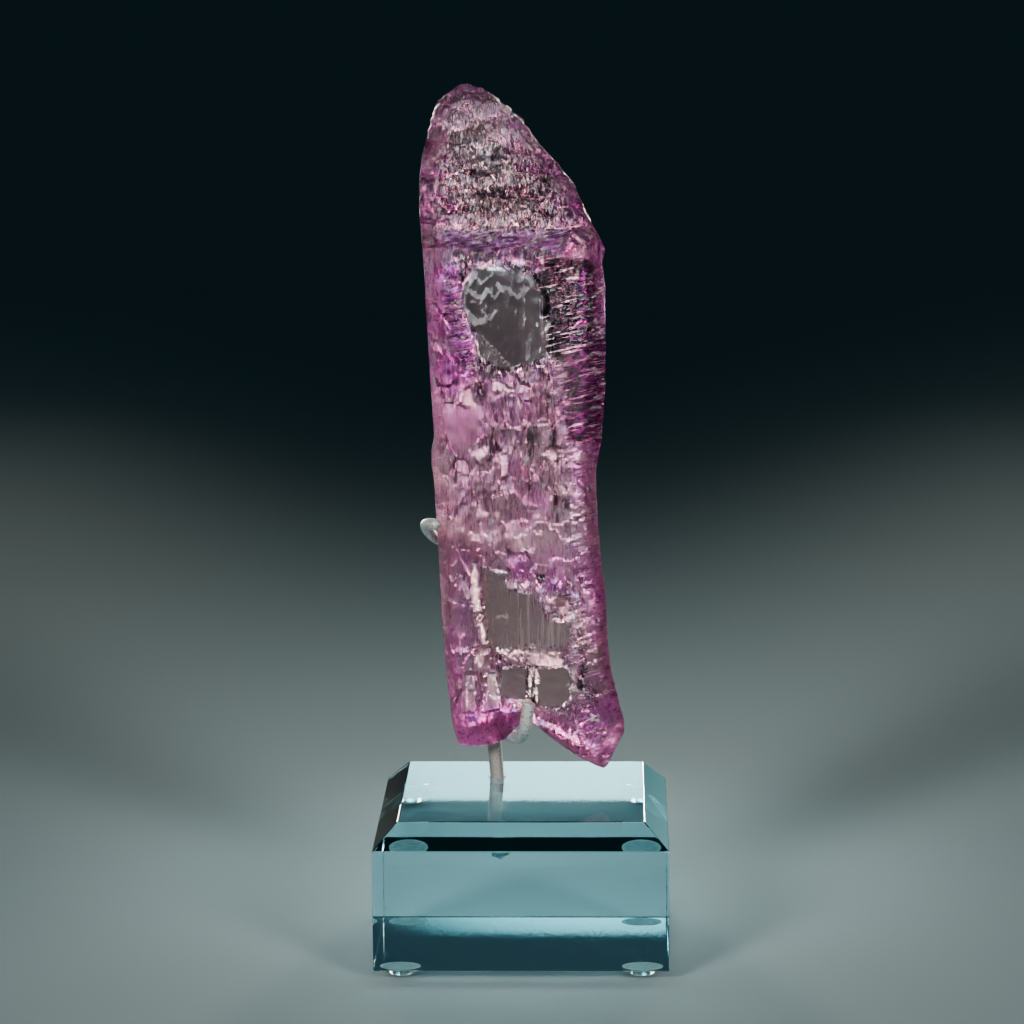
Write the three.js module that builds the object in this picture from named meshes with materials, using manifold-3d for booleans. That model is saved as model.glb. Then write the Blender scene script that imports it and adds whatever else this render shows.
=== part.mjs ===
// A kunzite blade on its display stand: the crystal, the post behind it with a finger wire
// and a hook wire, the drilled clear base and four bumper feet. Millimetres, +Z up. The
// origin is on the floor below the centre of the base, and the broad face looks along -Y.
import * as THREE from 'three';
import { mergeVertices } from 'three/addons/utils/BufferGeometryUtils.js';
import Module from 'manifold-3d';

const wasm = await Module();
wasm.setup();

// ---- driving dimensions

const foot = { diameter: 8.5, height: 2.3, restDiameter: 2, offsetX: 23.4, offsetY: 23.2 };
const base = { side: 57, height: 28.5, chamfer: 4.75, bottom: foot.height };
const baseTop = base.bottom + base.height;
const post = { diameter: 2.8, entry: [-5.5, 10.9], leanX: -0.075, topZ: 83, tipChamfer: 0.4 };
const hole = { diameter: 3.5, depth: 12.5, floorGap: 0.3 };
const brazeGap = 0.3; // between a wire's coped end and the post
// Depths are at x = 0; the whole blade is turned a little, so that they all fall by `turn` with x.
const crystal = { ridgeY: 2.6, frontY: -2.5, backY: 7.6, turn: -0.13, lobeLift: 6, crownLift: 5 };
// Grid cells across each stretch of the crystal, and the least width of its right front bevel
// beyond the one at its back.
const crystalMesh = { bevel: 2, face: 16, incline: 3, backBevel: 3, foot: 4, body: 60, crown: 4 };
const leastIncline = 1;

// Centrelines of the two wires, from inside the post to the free end.
const hookWire = {
  diameter: 2.5,
  sides: 12,
  steps: 22,
  route: [
    [-6.3, 10.9, 42.6],
    [-4.4, 9.2, 40.9],
    [-2.9, 6.5, 40.5],
    [-1.7, 3.8, 40.8],
    [-0.8, 0.5, 41.6],
    [0, -2.6, 43.1],
    [0.5, -4.1, 44.7],
    [0.8, -4.5, 46.6],
    [1.3, -4.4, 49.8],
  ],
};
const fingerWire = {
  diameter: 2.1,
  sides: 12,
  steps: 22,
  route: [
    [-9.2, 10.9, 79.6],
    [-12.2, 10.9, 78.9],
    [-15.7, 9.9, 79.2],
    [-17.6, 7.6, 80.6],
    [-18.7, 5.2, 82.3],
    [-19, 2.8, 83.7],
    [-18.6, 0.7, 84.5],
    [-17.5, -1, 84.8],
    [-16.1, -2.1, 84.7],
  ],
};

// The crystal's outline where the front and back bevels meet, [x, z, front bevel width,
// back bevel width]. Left and right edges run upwards, bottom and top edges run to +X.
const leftEdge = [
  [-13.1, 39.1, 2.2, 2.6],
  [-14.3, 43.5, 1.8, 2.6],
  [-15.3, 52.5, 1.7, 2.6],
  [-16.2, 64.5, 1.7, 2.8],
  [-16.8, 79, 2, 3],
  [-17.5, 91, 2.4, 3],
  [-18, 95.9, 2.8, 3],
  [-18, 98.4, 2.8, 3],
  [-17.4, 100.7, 2.2, 3],
  [-17.7, 106.6, 2.2, 3],
  [-18.4, 118.5, 2.4, 3.2],
  [-18.9, 130.3, 2.4, 3.2],
  [-19.4, 138.5, 2.6, 3.4],
  [-19.9, 145.5, 3, 3.4],
  [-19.8, 152.5, 3.2, 3.4],
  [-19, 157.1, 3, 3.2],
  [-17.6, 161.8, 2.8, 3],
  [-17, 164.3, 2.6, 3],
  [-15.8, 167, 2.4, 3],
];
const rightEdge = [
  [16.9, 36, 3, 3],
  [17.9, 38.2, 3.2, 3],
  [20.1, 42.8, 3.6, 3],
  [20.1, 45.2, 4, 3.2],
  [18.8, 50.1, 5, 3.6],
  [17.6, 55, 6, 4],
  [17, 59.8, 6, 4],
  [16.4, 71.9, 5.5, 4],
  [15.6, 76.7, 6, 4],
  [15, 85.1, 7, 4.2],
  [14.7, 91.1, 7.5, 4.4],
  [14.7, 95.9, 8.2, 4.6],
  [15.7, 100.7, 9.6, 5],
  [16.5, 112.5, 10.8, 5],
  [16.5, 131.4, 10.8, 5],
  [15.9, 136.1, 9, 5],
  [16.5, 138.4, 7.6, 5],
  [15.6, 140.7, 6, 4.6],
  [12.9, 145.4, 4.2, 4],
  [10.9, 150.1, 3.4, 3.6],
  [7.5, 154.7, 3, 3.4],
  [3.1, 159.4, 2.8, 3.2],
  [1.3, 161.7, 2.6, 3],
  [0.4, 163.4, 2.6, 3],
  [-1.9, 165, 2.6, 3],
  [-4.2, 166.7, 2.6, 3],
];
// The fifth number is the share of the depth that a steep wall takes at the very edge.
const bottomEdge = [
  [-13.1, 39.1, 6.4, 6, 0],
  [-10.7, 38.8, 7.4, 6.6, 0],
  [-8.3, 38.8, 7.6, 7, 0],
  [-5.8, 39.4, 7.6, 7.2, 0],
  [-3.5, 40.5, 7.4, 7.2, 0],
  [-1.7, 42.5, 5.2, 5.6, 0.05],
  [0.3, 44.5, 3.2, 4, 0.3],
  [1.6, 44.3, 3, 3.6, 0.42],
  [3.7, 42.3, 3.4, 3.6, 0.45],
  [7.2, 39.6, 4.2, 3.8, 0.45],
  [11, 37.2, 4.6, 4, 0.42],
  [14.4, 35.6, 4.6, 4, 0.38],
  [15.7, 35.2, 4, 3.6, 0.3],
  [16.9, 36, 3, 3, 0.1],
];
const topEdge = [
  [-15.8, 167, 2.4, 3],
  [-14.6, 167.9, 2.6, 3],
  [-12.3, 169.8, 3, 3.2],
  [-11.1, 170.4, 3, 3.2],
  [-10, 170.4, 3, 3.2],
  [-8.8, 169.8, 3, 3.2],
  [-7.7, 169.8, 3, 3.2],
  [-6.5, 169, 2.8, 3],
  [-5.4, 167.7, 2.6, 3],
  [-4.2, 166.7, 2.6, 3],
];
const steepRun = 1.6; // width that the steep wall would need for the full depth

// Smooth floors and steps of the front face, each an outline in X and Z and its sunk depth.
const frontLedges = [
  {
    // the upper window
    sunk: 0.55,
    outline: [
      ...[[-10.5, 134.1], [-5.4, 136.4], [1.9, 135.2], [6.9, 130.9], [7.5, 127.1]],
      ...[[5.5, 118.1], [-0.5, 115.2], [-6.3, 120.9], [-11.1, 129.1]],
    ],
  },
  {
    // the lower window
    sunk: 0.6,
    outline: [[-7.4, 78.5], [4.5, 77.6], [8.6, 65.9], [8, 59.6], [-6, 58.8], [-7.6, 66]],
  },
  {
    // the clear foot
    sunk: 0.3,
    outline: [[-7, 55.8], [7.4, 56.4], [11.7, 54.6], [12.4, 50.2], [3.6, 48.2], [-7, 49]],
  },
  {
    // the pane at the left
    sunk: 0.35,
    outline: [[-14.6, 106], [-9.9, 108], [-8.4, 105.6], [-9.2, 101.7], [-11.5, 99.7], [-14.2, 100.9]],
  },
];
const ledgeRamp = 0.7; // width of the slope that leads down to a sunk floor

// Etch relief: scales cover the crown, flutes run up the middle, ripples cross the incline.
const scales = { height: 0.9, width: 2.8, length: 4.8, from: 132, to: 140 };
const flutes = { height: 0.25, spacing: 2.8 };
const ripples = { height: 0.35, spacing: 3.6, slope: 0.2 };
const backRelief = { height: 0.4, width: 3.4, length: 7, mean: 0.6, shift: 40 };
// The incline is the strip to the right of a line from [x, z] `low` to `high`.
const incline = { low: [9.5, 60], high: [4.5, 125], blend: 3 };

// ---- small helpers

const lerp = (a, b, t) => a + (b - a) * t;
const clamp01 = (t) => Math.min(1, Math.max(0, t));
const smooth = (from, to, t) => {
  const s = clamp01((t - from) / (to - from));
  return s * s * (3 - 2 * s);
};

// A repeatable number from 0 to 1 for a whole-number cell.
const scatter = (i, j) => {
  const s = Math.sin(i * 127.1 + j * 311.7) * 43758.5453;
  return s - Math.floor(s);
};

// The row of an edge table where column `key`, which only grows, has the value given.
function rowAt(edge, key, value) {
  let n = 1;
  while (n < edge.length - 1 && edge[n][key] < value) n += 1;
  const [a, b] = [edge[n - 1], edge[n]];
  const t = clamp01((value - a[key]) / (b[key] - a[key]));
  return a.map((low, column) => lerp(low, b[column], t));
}

// Distance to a closed outline, positive inside it.
function depthInside(outline, x, z) {
  let nearest = Infinity;
  let inside = false;
  outline.forEach(([ax, az], n) => {
    const [bx, bz] = outline[(n + 1) % outline.length];
    const [ex, ez] = [bx - ax, bz - az];
    const t = clamp01(((x - ax) * ex + (z - az) * ez) / (ex * ex + ez * ez));
    nearest = Math.min(nearest, Math.hypot(x - ax - ex * t, z - az - ez * t));
    if (az > z !== bz > z && x < ax + (ex * (z - az)) / ez) inside = !inside;
  });
  return inside ? nearest : -nearest;
}

function solidOf(geometry) {
  const bare = geometry.clone();
  bare.deleteAttribute('normal');
  bare.deleteAttribute('uv');
  const merged = mergeVertices(bare, 1e-4);
  const vertProperties = new Float32Array(merged.attributes.position.array);
  const triVerts = new Uint32Array(merged.index.array);
  return new wasm.Manifold(new wasm.Mesh({ numProp: 3, vertProperties, triVerts }));
}

function geometryOf(solid) {
  const mesh = solid.getMesh();
  const geometry = new THREE.BufferGeometry();
  geometry.setAttribute('position', new THREE.BufferAttribute(mesh.vertProperties, 3));
  geometry.setIndex(new THREE.BufferAttribute(mesh.triVerts, 1));
  geometry.computeVertexNormals();
  return geometry;
}

// ---- the crystal: a front and a back surface over one outline, which meet at its ridge

const corner = {
  left: bottomEdge[0][0],
  right: bottomEdge.at(-1)[0],
  leftLow: leftEdge[0][1],
  rightLow: rightEdge[0][1],
  leftHigh: leftEdge.at(-1)[1],
  rightHigh: rightEdge.at(-1)[1],
  topLeft: topEdge[0][0],
  topRight: topEdge.at(-1)[0],
};
const leftAt = (v) => rowAt(leftEdge, 1, lerp(corner.leftLow, corner.leftHigh, v));
const rightAt = (v) => rowAt(rightEdge, 1, lerp(corner.rightLow, corner.rightHigh, v));
const bottomAt = (u) => rowAt(bottomEdge, 0, lerp(corner.left, corner.right, u));
const topAt = (u) => rowAt(topEdge, 0, lerp(corner.topLeft, corner.topRight, u));

// Where the grid line u, v lies: the rows are straight from left to right edge, and bend
// to the bottom and top edges near them.
function outlinePoint(u, v) {
  const [left, right, bottom, top] = [leftAt(v), rightAt(v), bottomAt(u), topAt(u)];
  const bottomLift = bottom[1] - lerp(corner.leftLow, corner.rightLow, u);
  const topLift = top[1] - lerp(corner.leftHigh, corner.rightHigh, u);
  const z = lerp(left[1], right[1], u);
  const lift = bottomLift * (1 - v) ** crystal.lobeLift + topLift * v ** crystal.crownLift;
  return [lerp(left[0], right[0], u), z + lift];
}

// The share of full depth that the bevels leave at a grid point; side 0 front, 1 back.
function bevelShare(u, v, side) {
  const [x, z] = outlinePoint(u, v);
  const [left, right, bottom, top] = [leftAt(v), rightAt(v), bottomAt(u), topAt(u)];
  const width = 2 + side; // the column of the bevel's width
  const low = z - outlinePoint(u, 0)[1];
  const high = outlinePoint(u, 1)[1] - z;
  const wall = side === 0 ? bottom[4] : 0;
  const bottomShare = Math.min(low / steepRun, wall + ((1 - wall) * low) / bottom[width]);
  const sideShare = Math.min((x - left[0]) / left[width], (right[0] - x) / right[width]);
  return clamp01(Math.min(sideShare, wall > 0 ? bottomShare : low / bottom[width], high / top[width]));
}

// Round-topped scales in staggered cells, 0 at a cell's border and 1 at its middle.
function cellDome(x, z, width, length) {
  let best = 0;
  const [ci, cj] = [Math.floor(x / width), Math.floor(z / length)];
  for (let i = ci - 1; i <= ci + 1; i += 1) {
    for (let j = cj - 1; j <= cj + 1; j += 1) {
      const px = (i + 0.2 + 0.6 * scatter(i, j)) * width;
      const pz = (j + 0.2 + 0.6 * scatter(j, i + 57)) * length;
      const away = Math.hypot((x - px) / width, (z - pz) / length);
      best = Math.max(best, 1 - away);
    }
  }
  return clamp01(best);
}

// How far the front stands proud of its plane, before the bevels fade it out.
function frontRelief(x, z) {
  let sunk = 0;
  let floor = 0;
  frontLedges.forEach((ledge) => {
    const t = smooth(-ledgeRamp / 2, ledgeRamp / 2, depthInside(ledge.outline, x, z));
    sunk = Math.max(sunk, ledge.sunk * t);
    floor = Math.max(floor, t);
  });
  const crown = smooth(scales.from, scales.to, z);
  const creaseX = lerp(incline.low[0], incline.high[0], smooth(incline.low[1], incline.high[1], z));
  const onIncline = smooth(0, incline.blend, x - creaseX);
  const scale = scales.height * cellDome(x, z, scales.width, scales.length);
  const flute = flutes.height * Math.sin((x * 2 * Math.PI) / flutes.spacing);
  const along = z - ripples.slope * x;
  const ripple = ripples.height * Math.sin((along * 2 * Math.PI) / ripples.spacing);
  const rough = lerp(lerp(flute, ripple, onIncline), scale, crown);
  return rough * (1 - floor) - sunk;
}

function backProud(x, z) {
  const dome = cellDome(x + backRelief.shift, z, backRelief.width, backRelief.length);
  return backRelief.height * (dome - backRelief.mean);
}

function crystalPoint(u, v, side) {
  const [x, z] = outlinePoint(u, v);
  const share = bevelShare(u, v, side);
  const face = side === 0 ? crystal.frontY - frontRelief(x, z) : crystal.backY + backProud(x, z);
  return [x, lerp(crystal.ridgeY, face, share) + crystal.turn * x, z];
}

// Grid positions from 0 to 1 with a line on each crease; `stops` are [position, cells before].
function gridLines(stops) {
  const lines = [0];
  let from = 0;
  stops.forEach(([to, cells]) => {
    for (let n = 1; n <= cells; n += 1) lines.push(lerp(from, to, n / cells));
    from = to;
  });
  return lines;
}

function crystalColumns(v) {
  const [left, right] = [leftAt(v), rightAt(v)];
  const width = right[0] - left[0];
  const inner = Math.max(right[2], right[3] + leastIncline);
  const outer = Math.min(right[2], right[3]);
  return gridLines([
    [left[2] / width, crystalMesh.bevel],
    [1 - inner / width, crystalMesh.face],
    [1 - outer / width, crystalMesh.incline],
    [1, crystalMesh.backBevel],
  ]);
}

function crystalRows(u) {
  const height = lerp(corner.leftHigh, corner.rightHigh, u) - lerp(corner.leftLow, corner.rightLow, u);
  return gridLines([
    [bottomAt(u)[2] / height, crystalMesh.foot],
    [1 - topAt(u)[2] / height, crystalMesh.body],
    [1, crystalMesh.crown],
  ]);
}

function crystalGeometry() {
  const columns = crystalColumns(0.5).length;
  const rows = crystalRows(0.5).length;
  const positions = [];
  const index = [];
  const at = (side, i, j) => (side * rows + j) * columns + i;
  [0, 1].forEach((side) => {
    for (let j = 0; j < rows; j += 1) {
      for (let i = 0; i < columns; i += 1) {
        const v = crystalRows(i / (columns - 1))[j];
        const u = crystalColumns(v)[i];
        positions.push(...crystalPoint(u, v, side));
      }
    }
    for (let j = 1; j < rows; j += 1) {
      for (let i = 1; i < columns; i += 1) {
        const quad = [at(side, i - 1, j - 1), at(side, i, j - 1), at(side, i, j), at(side, i - 1, j)];
        if (side === 1) quad.reverse();
        const [a, b, c, d] = quad;
        index.push(a, b, c, a, c, d);
      }
    }
  });
  const geometry = new THREE.BufferGeometry();
  geometry.setAttribute('position', new THREE.Float32BufferAttribute(positions, 3));
  geometry.setIndex(index);
  const merged = mergeVertices(geometry, 1e-4);
  merged.computeVertexNormals();
  return merged;
}

// ---- the holder

const postAxis = new THREE.Vector3(post.leanX, 0, 1).normalize();
const postEntry = new THREE.Vector3(post.entry[0], post.entry[1], baseTop);

// A round bar about the post's axis, between two distances along it from the base's top.
function postBar(diameter, from, to, chamfer = 0) {
  const r = diameter / 2;
  const profile = [
    new THREE.Vector2(0, from),
    new THREE.Vector2(r, from),
    new THREE.Vector2(r, to - chamfer),
    ...(chamfer ? [new THREE.Vector2(r - chamfer, to)] : []),
    new THREE.Vector2(0, to),
  ];
  const bar = new THREE.LatheGeometry(profile, 24);
  const turn = new THREE.Quaternion().setFromUnitVectors(new THREE.Vector3(0, 1, 0), postAxis);
  bar.applyQuaternion(turn);
  bar.translate(postEntry.x, postEntry.y, postEntry.z);
  return bar;
}

function postGeometry() {
  const length = (post.topZ - baseTop) / postAxis.z;
  return postBar(post.diameter, hole.floorGap - hole.depth, length, post.tipChamfer);
}

// A wire along its route, coped where it meets the post; a round nose is optional.
function wireGeometry(wire, roundNose) {
  const points = wire.route.map((p) => new THREE.Vector3(...p));
  const path = new THREE.CatmullRomCurve3(points, false, 'centripetal');
  const section = new THREE.Shape();
  section.absarc(0, 0, wire.diameter / 2, 0, 2 * Math.PI);
  const tube = new THREE.ExtrudeGeometry(section, {
    steps: wire.steps,
    curveSegments: wire.sides / 2,
    extrudePath: path,
  });
  let solid = solidOf(tube);
  if (roundNose) {
    const nose = new THREE.SphereGeometry(wire.diameter / 2, wire.sides, wire.sides / 2);
    nose.translate(...wire.route.at(-1));
    solid = solid.add(solidOf(nose));
  }
  const reach = 2 * wire.diameter;
  const middle = (wire.route[0][2] - baseTop) / postAxis.z;
  const bore = postBar(post.diameter + 2 * brazeGap, middle - reach, middle + reach);
  return geometryOf(solid.subtract(solidOf(bore)));
}

// The block is a square prism with its four top edges chamfered, turned from four sides.
function baseGeometry() {
  const toCorner = Math.SQRT2 / 2;
  const profile = [
    new THREE.Vector2(0, base.bottom),
    new THREE.Vector2(base.side * toCorner, base.bottom),
    new THREE.Vector2(base.side * toCorner, baseTop - base.chamfer),
    new THREE.Vector2((base.side - 2 * base.chamfer) * toCorner, baseTop),
    new THREE.Vector2(0, baseTop),
  ];
  const block = new THREE.LatheGeometry(profile, 4);
  block.rotateY(Math.PI / 4);
  block.rotateX(Math.PI / 2);
  const drill = postBar(hole.diameter, -hole.depth, hole.depth);
  return geometryOf(solidOf(block).subtract(solidOf(drill)));
}

// A dome that rests on a small flat, its wide face up against the block.
function footGeometry() {
  const r = foot.diameter / 2;
  const flat = foot.restDiameter / 2;
  const centre = (r * r + foot.height * foot.height - flat * flat) / (2 * foot.height);
  const radius = Math.hypot(flat, centre);
  const profile = [new THREE.Vector2(0, 0), new THREE.Vector2(flat, 0)];
  const [from, to] = [Math.asin(flat / radius), Math.asin(r / radius)];
  for (let n = 1; n <= 5; n += 1) {
    const angle = lerp(from, to, n / 5);
    profile.push(new THREE.Vector2(radius * Math.sin(angle), centre - radius * Math.cos(angle)));
  }
  profile.push(new THREE.Vector2(0, foot.height));
  const dome = new THREE.LatheGeometry(profile, 20);
  dome.rotateX(Math.PI / 2);
  return dome;
}

// ---- materials and assembly

const kunzite = new THREE.MeshStandardMaterial({
  color: 0xb98bb8,
  roughness: 0.15,
  metalness: 0,
  transparent: true,
  opacity: 0.6,
  flatShading: true,
});
const acrylic = new THREE.MeshStandardMaterial({
  color: 0xd6f2f0,
  roughness: 0.05,
  metalness: 0,
  transparent: true,
  opacity: 0.35,
});
const silverWire = new THREE.MeshStandardMaterial({ color: 0xcbc9c2, roughness: 0.35, metalness: 1 });
const dullSteel = new THREE.MeshStandardMaterial({ color: 0x7c7575, roughness: 0.5, metalness: 1 });
const clearRubber = new THREE.MeshStandardMaterial({
  color: 0xdfeeee,
  roughness: 0.2,
  metalness: 0,
  transparent: true,
  opacity: 0.5,
});

function named(name, geometry, material) {
  const mesh = new THREE.Mesh(geometry, material);
  mesh.name = name;
  return mesh;
}

const kunziteOnStand = new THREE.Group();
kunziteOnStand.add(
  named('kunzite_crystal', crystalGeometry(), kunzite),
  named('mount_post', postGeometry(), dullSteel),
  named('finger_wire', wireGeometry(fingerWire, true), silverWire),
  named('hook_wire', wireGeometry(hookWire, false), silverWire),
  named('acrylic_base', baseGeometry(), acrylic),
);
[['left', -1], ['right', 1]].forEach(([sideName, sideX]) => {
  [['front', -1], ['back', 1]].forEach(([endName, sideY]) => {
    const bumper = named(`bumper_foot_${endName}_${sideName}`, footGeometry(), clearRubber);
    bumper.position.set(sideX * foot.offsetX, sideY * foot.offsetY, 0);
    kunziteOnStand.add(bumper);
  });
});

export default kunziteOnStand;
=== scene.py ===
# A kunzite blade on its display stand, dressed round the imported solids.
# Tables are in millimetres, in the frame of the solids; meshes are made in metres.
from math import cos, pi, radians, sin

import bpy
import numpy as np
from mathutils import Matrix, Vector


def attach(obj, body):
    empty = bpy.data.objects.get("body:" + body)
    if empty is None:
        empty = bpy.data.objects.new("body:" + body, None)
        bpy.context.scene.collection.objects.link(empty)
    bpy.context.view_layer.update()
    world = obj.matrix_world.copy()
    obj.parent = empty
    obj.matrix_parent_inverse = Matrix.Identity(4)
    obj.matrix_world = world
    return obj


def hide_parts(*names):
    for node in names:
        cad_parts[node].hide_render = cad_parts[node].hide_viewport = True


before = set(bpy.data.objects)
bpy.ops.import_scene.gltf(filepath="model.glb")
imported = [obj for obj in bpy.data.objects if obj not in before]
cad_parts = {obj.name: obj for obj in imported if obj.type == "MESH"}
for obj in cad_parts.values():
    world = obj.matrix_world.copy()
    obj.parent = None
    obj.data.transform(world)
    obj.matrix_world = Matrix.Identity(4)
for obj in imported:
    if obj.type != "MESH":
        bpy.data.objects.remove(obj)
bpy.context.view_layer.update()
mm = 0.001
print("frame loaded:", len(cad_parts), "nodes")


# a socket that can be reckoned with: an expression adds its nodes
class Reading:
    def __init__(self, tree, socket):
        self.tree = tree
        self.socket = socket

    def reckon(self, operation, *values, clamp=False):
        node = self.tree.nodes.new("ShaderNodeMath")
        node.operation = operation
        node.use_clamp = clamp
        for place, value in zip(node.inputs, values):
            feed(self.tree, place, value)
        return Reading(self.tree, node.outputs[0])

    def __add__(self, other):
        return self.reckon("ADD", self, other)

    def __radd__(self, other):
        return self.reckon("ADD", other, self)

    def __sub__(self, other):
        return self.reckon("SUBTRACT", self, other)

    def __rsub__(self, other):
        return self.reckon("SUBTRACT", other, self)

    def __mul__(self, other):
        return self.reckon("MULTIPLY", self, other)

    def __rmul__(self, other):
        return self.reckon("MULTIPLY", other, self)

    def __truediv__(self, other):
        return self.reckon("DIVIDE", self, other)

    def __rtruediv__(self, other):
        return self.reckon("DIVIDE", other, self)

    def __pow__(self, other):
        return self.reckon("POWER", self, other)

    def __abs__(self):
        return self.reckon("ABSOLUTE", self)

    def clamped(self):
        return self.reckon("ADD", self, 0.0, clamp=True)

    def atLeast(self, low):
        return self.reckon("MAXIMUM", self, low)


def feed(tree, place, value):
    if isinstance(value, Reading):
        tree.links.new(value.socket, place)
    elif value is not None:
        place.default_value = value


# makes every other node of a tree
class Bench:
    def __init__(self, tree):
        self.tree = tree

    # settings are set first; sockets go by name or by number; out is what is handed back, or None
    def add(self, kind, settings=None, sockets=None, out=0):
        node = self.tree.nodes.new(kind)
        for key, value in (settings or {}).items():
            setattr(node, key, value)
        for key, value in (sockets or {}).items():
            feed(self.tree, node.inputs[key], value)
        if out is None:
            return None
        if isinstance(out, tuple):
            return [Reading(self.tree, node.outputs[one]) for one in out]
        return Reading(self.tree, node.outputs[out])

    def smooth(self, value, low, high):
        return self.add("ShaderNodeMapRange", {"interpolation_type": "SMOOTHSTEP"},
                        {0: value, 1: low, 2: high, 3: 0.0, 4: 1.0})

    def ranged(self, value, low, high):
        return self.add("ShaderNodeMapRange", {}, {0: value, 1: 0.0, 2: 1.0, 3: low, 4: high})

    def mixed(self, share, first, second):
        first, second = ((*one, 1) if isinstance(one, tuple) else one for one in (first, second))
        return self.add("ShaderNodeMix", {"data_type": "RGBA"}, {0: share, 6: first, 7: second}, out=2)

    # the distance is in millimetres
    def bump(self, height, distance, strength=1.0):
        return self.add("ShaderNodeBump", {}, {
            "Strength": strength, "Distance": distance * mm, "Height": height})

    def parts(self, vector):
        return self.add("ShaderNodeSeparateXYZ", {}, {0: vector}, out=(0, 1, 2))

    def vector(self, x, y, z):
        return self.add("ShaderNodeCombineXYZ", {}, {0: x, 1: y, 2: z})

    def noise(self, place, scale, detail=2.0, roughness=0.5, distortion=0.0, out=0):
        return self.add("ShaderNodeTexNoise", {}, {
            "Vector": place, "Scale": scale, "Detail": detail, "Roughness": roughness,
            "Distortion": distortion}, out=out)

    # facets, each with its own level and lean: how far from its middle, three chances, place in it
    def facets(self, place, flat=False, metric="EUCLIDEAN"):
        settings = {"voronoi_dimensions": "2D" if flat else "3D", "feature": "F1", "distance": metric}
        distance, chance, middle = self.add("ShaderNodeTexVoronoi", settings, {
            "Vector": place, "Scale": 1.0}, out=("Distance", "Color", "Position"))
        offset = self.add("ShaderNodeVectorMath", {"operation": "SUBTRACT"}, {0: place, 1: middle})
        return distance, self.parts(chance), self.parts(offset)


def meshPiece(name, points, faces, materials=(), smooth=True):
    mesh = bpy.data.meshes.new(name)
    mesh.from_pydata([tuple(p) for p in points], [], [tuple(f) for f in faces])
    mesh.update()
    for material in materials:
        mesh.materials.append(material)
    mesh.shade_smooth() if smooth else mesh.shade_flat()
    piece = bpy.data.objects.new(name, mesh)
    bpy.context.scene.collection.objects.link(piece)
    return piece


# puts the evaluated mesh of an object in its place, as a plain mesh with no modifier
def settled(piece, name):
    bpy.context.view_layer.update()
    seen = piece.evaluated_get(bpy.context.evaluated_depsgraph_get())
    mesh = bpy.data.meshes.new_from_object(seen, preserve_all_data_layers=True,
                                           depsgraph=bpy.context.evaluated_depsgraph_get())
    mesh.name = name
    bpy.data.objects.remove(piece)
    done = bpy.data.objects.new(name, mesh)
    bpy.context.scene.collection.objects.link(done)
    return done


def growTree(name, inputs):
    tree = bpy.data.node_groups.new(name, "GeometryNodeTree")
    inputs = {"Geometry": "NodeSocketGeometry", **inputs}
    for label, kind in inputs.items():
        tree.interface.new_socket(name=label, in_out="INPUT", socket_type=kind)
    tree.interface.new_socket(name="Geometry", in_out="OUTPUT", socket_type="NodeSocketGeometry")
    bench = Bench(tree)
    given = dict(zip(inputs, bench.add("NodeGroupInput", out=tuple(inputs))))
    return tree, bench, given


# every tree ends in real geometry with its material set, on all of it or on a selection
def closeTree(bench, geometry, material, selection=None):
    real = bench.add("GeometryNodeRealizeInstances", {}, {0: geometry})
    coated = bench.add("GeometryNodeSetMaterial", {}, {
        "Geometry": real, "Selection": selection, "Material": material})
    bench.add("NodeGroupOutput", {}, {0: coated}, out=None)


def useTree(piece, tree, values):
    modifier = piece.modifiers.new(tree.name, "NODES")
    modifier.node_group = tree
    for item in tree.interface.items_tree:
        if item.in_out == "INPUT" and item.name in values:
            modifier[item.identifier] = values[item.name]


def newFinish(name):
    material = bpy.data.materials.new(name)
    material.use_nodes = True
    material.node_tree.nodes.clear()
    bench = Bench(material.node_tree)
    # object coordinates in millimetres
    place = bench.add("ShaderNodeMapping", {}, {
        "Vector": bench.add("ShaderNodeTexCoord", out=3), "Scale": (1000, 1000, 1000)})
    return material, bench, place


# surface holds the shader's sockets; clear is the dictionary with the tint and density of its depth
def finishMaterial(material, bench, surface, clear=None):
    body = bench.add("ShaderNodeBsdfPrincipled", {}, surface)
    depth = clear and bench.add("ShaderNodeVolumeAbsorption", {}, {
        "Color": (*clear["tint"], 1), "Density": clear["density"]})
    bench.add("ShaderNodeOutputMaterial", {}, {"Surface": body, "Volume": depth}, out=None)
    return material


# place in metres, angles in degrees, lens and sensor in millimetres
viewer = {"place": (0.017978, -0.768774, 0.230198), "pitch": 10.552, "yaw": -1.4838, "roll": -0.3538,
          "lens": 140.625, "sensor": 36.0}


def makeCamera():
    pitch, yaw, roll = (radians(viewer[key]) for key in ("pitch", "yaw", "roll"))
    ahead = Vector((sin(yaw) * cos(pitch), cos(yaw) * cos(pitch), -sin(pitch)))
    right = Vector((cos(yaw), -sin(yaw), 0))
    up = right.cross(ahead)
    level = right * cos(roll) + up * sin(roll)
    upright = up * cos(roll) - right * sin(roll)
    turn = Matrix((level, upright, -ahead)).transposed()
    camera = bpy.data.objects.new("viewer", bpy.data.cameras.new("viewer"))
    camera.data.lens = viewer["lens"]
    camera.data.sensor_width = viewer["sensor"]
    camera.data.clip_start = 0.01
    camera.matrix_world = Matrix.Translation(viewer["place"]) @ turn.to_4x4()
    bpy.context.scene.collection.objects.link(camera)
    bpy.context.scene.camera = camera


makeCamera()
print("camera set")


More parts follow.
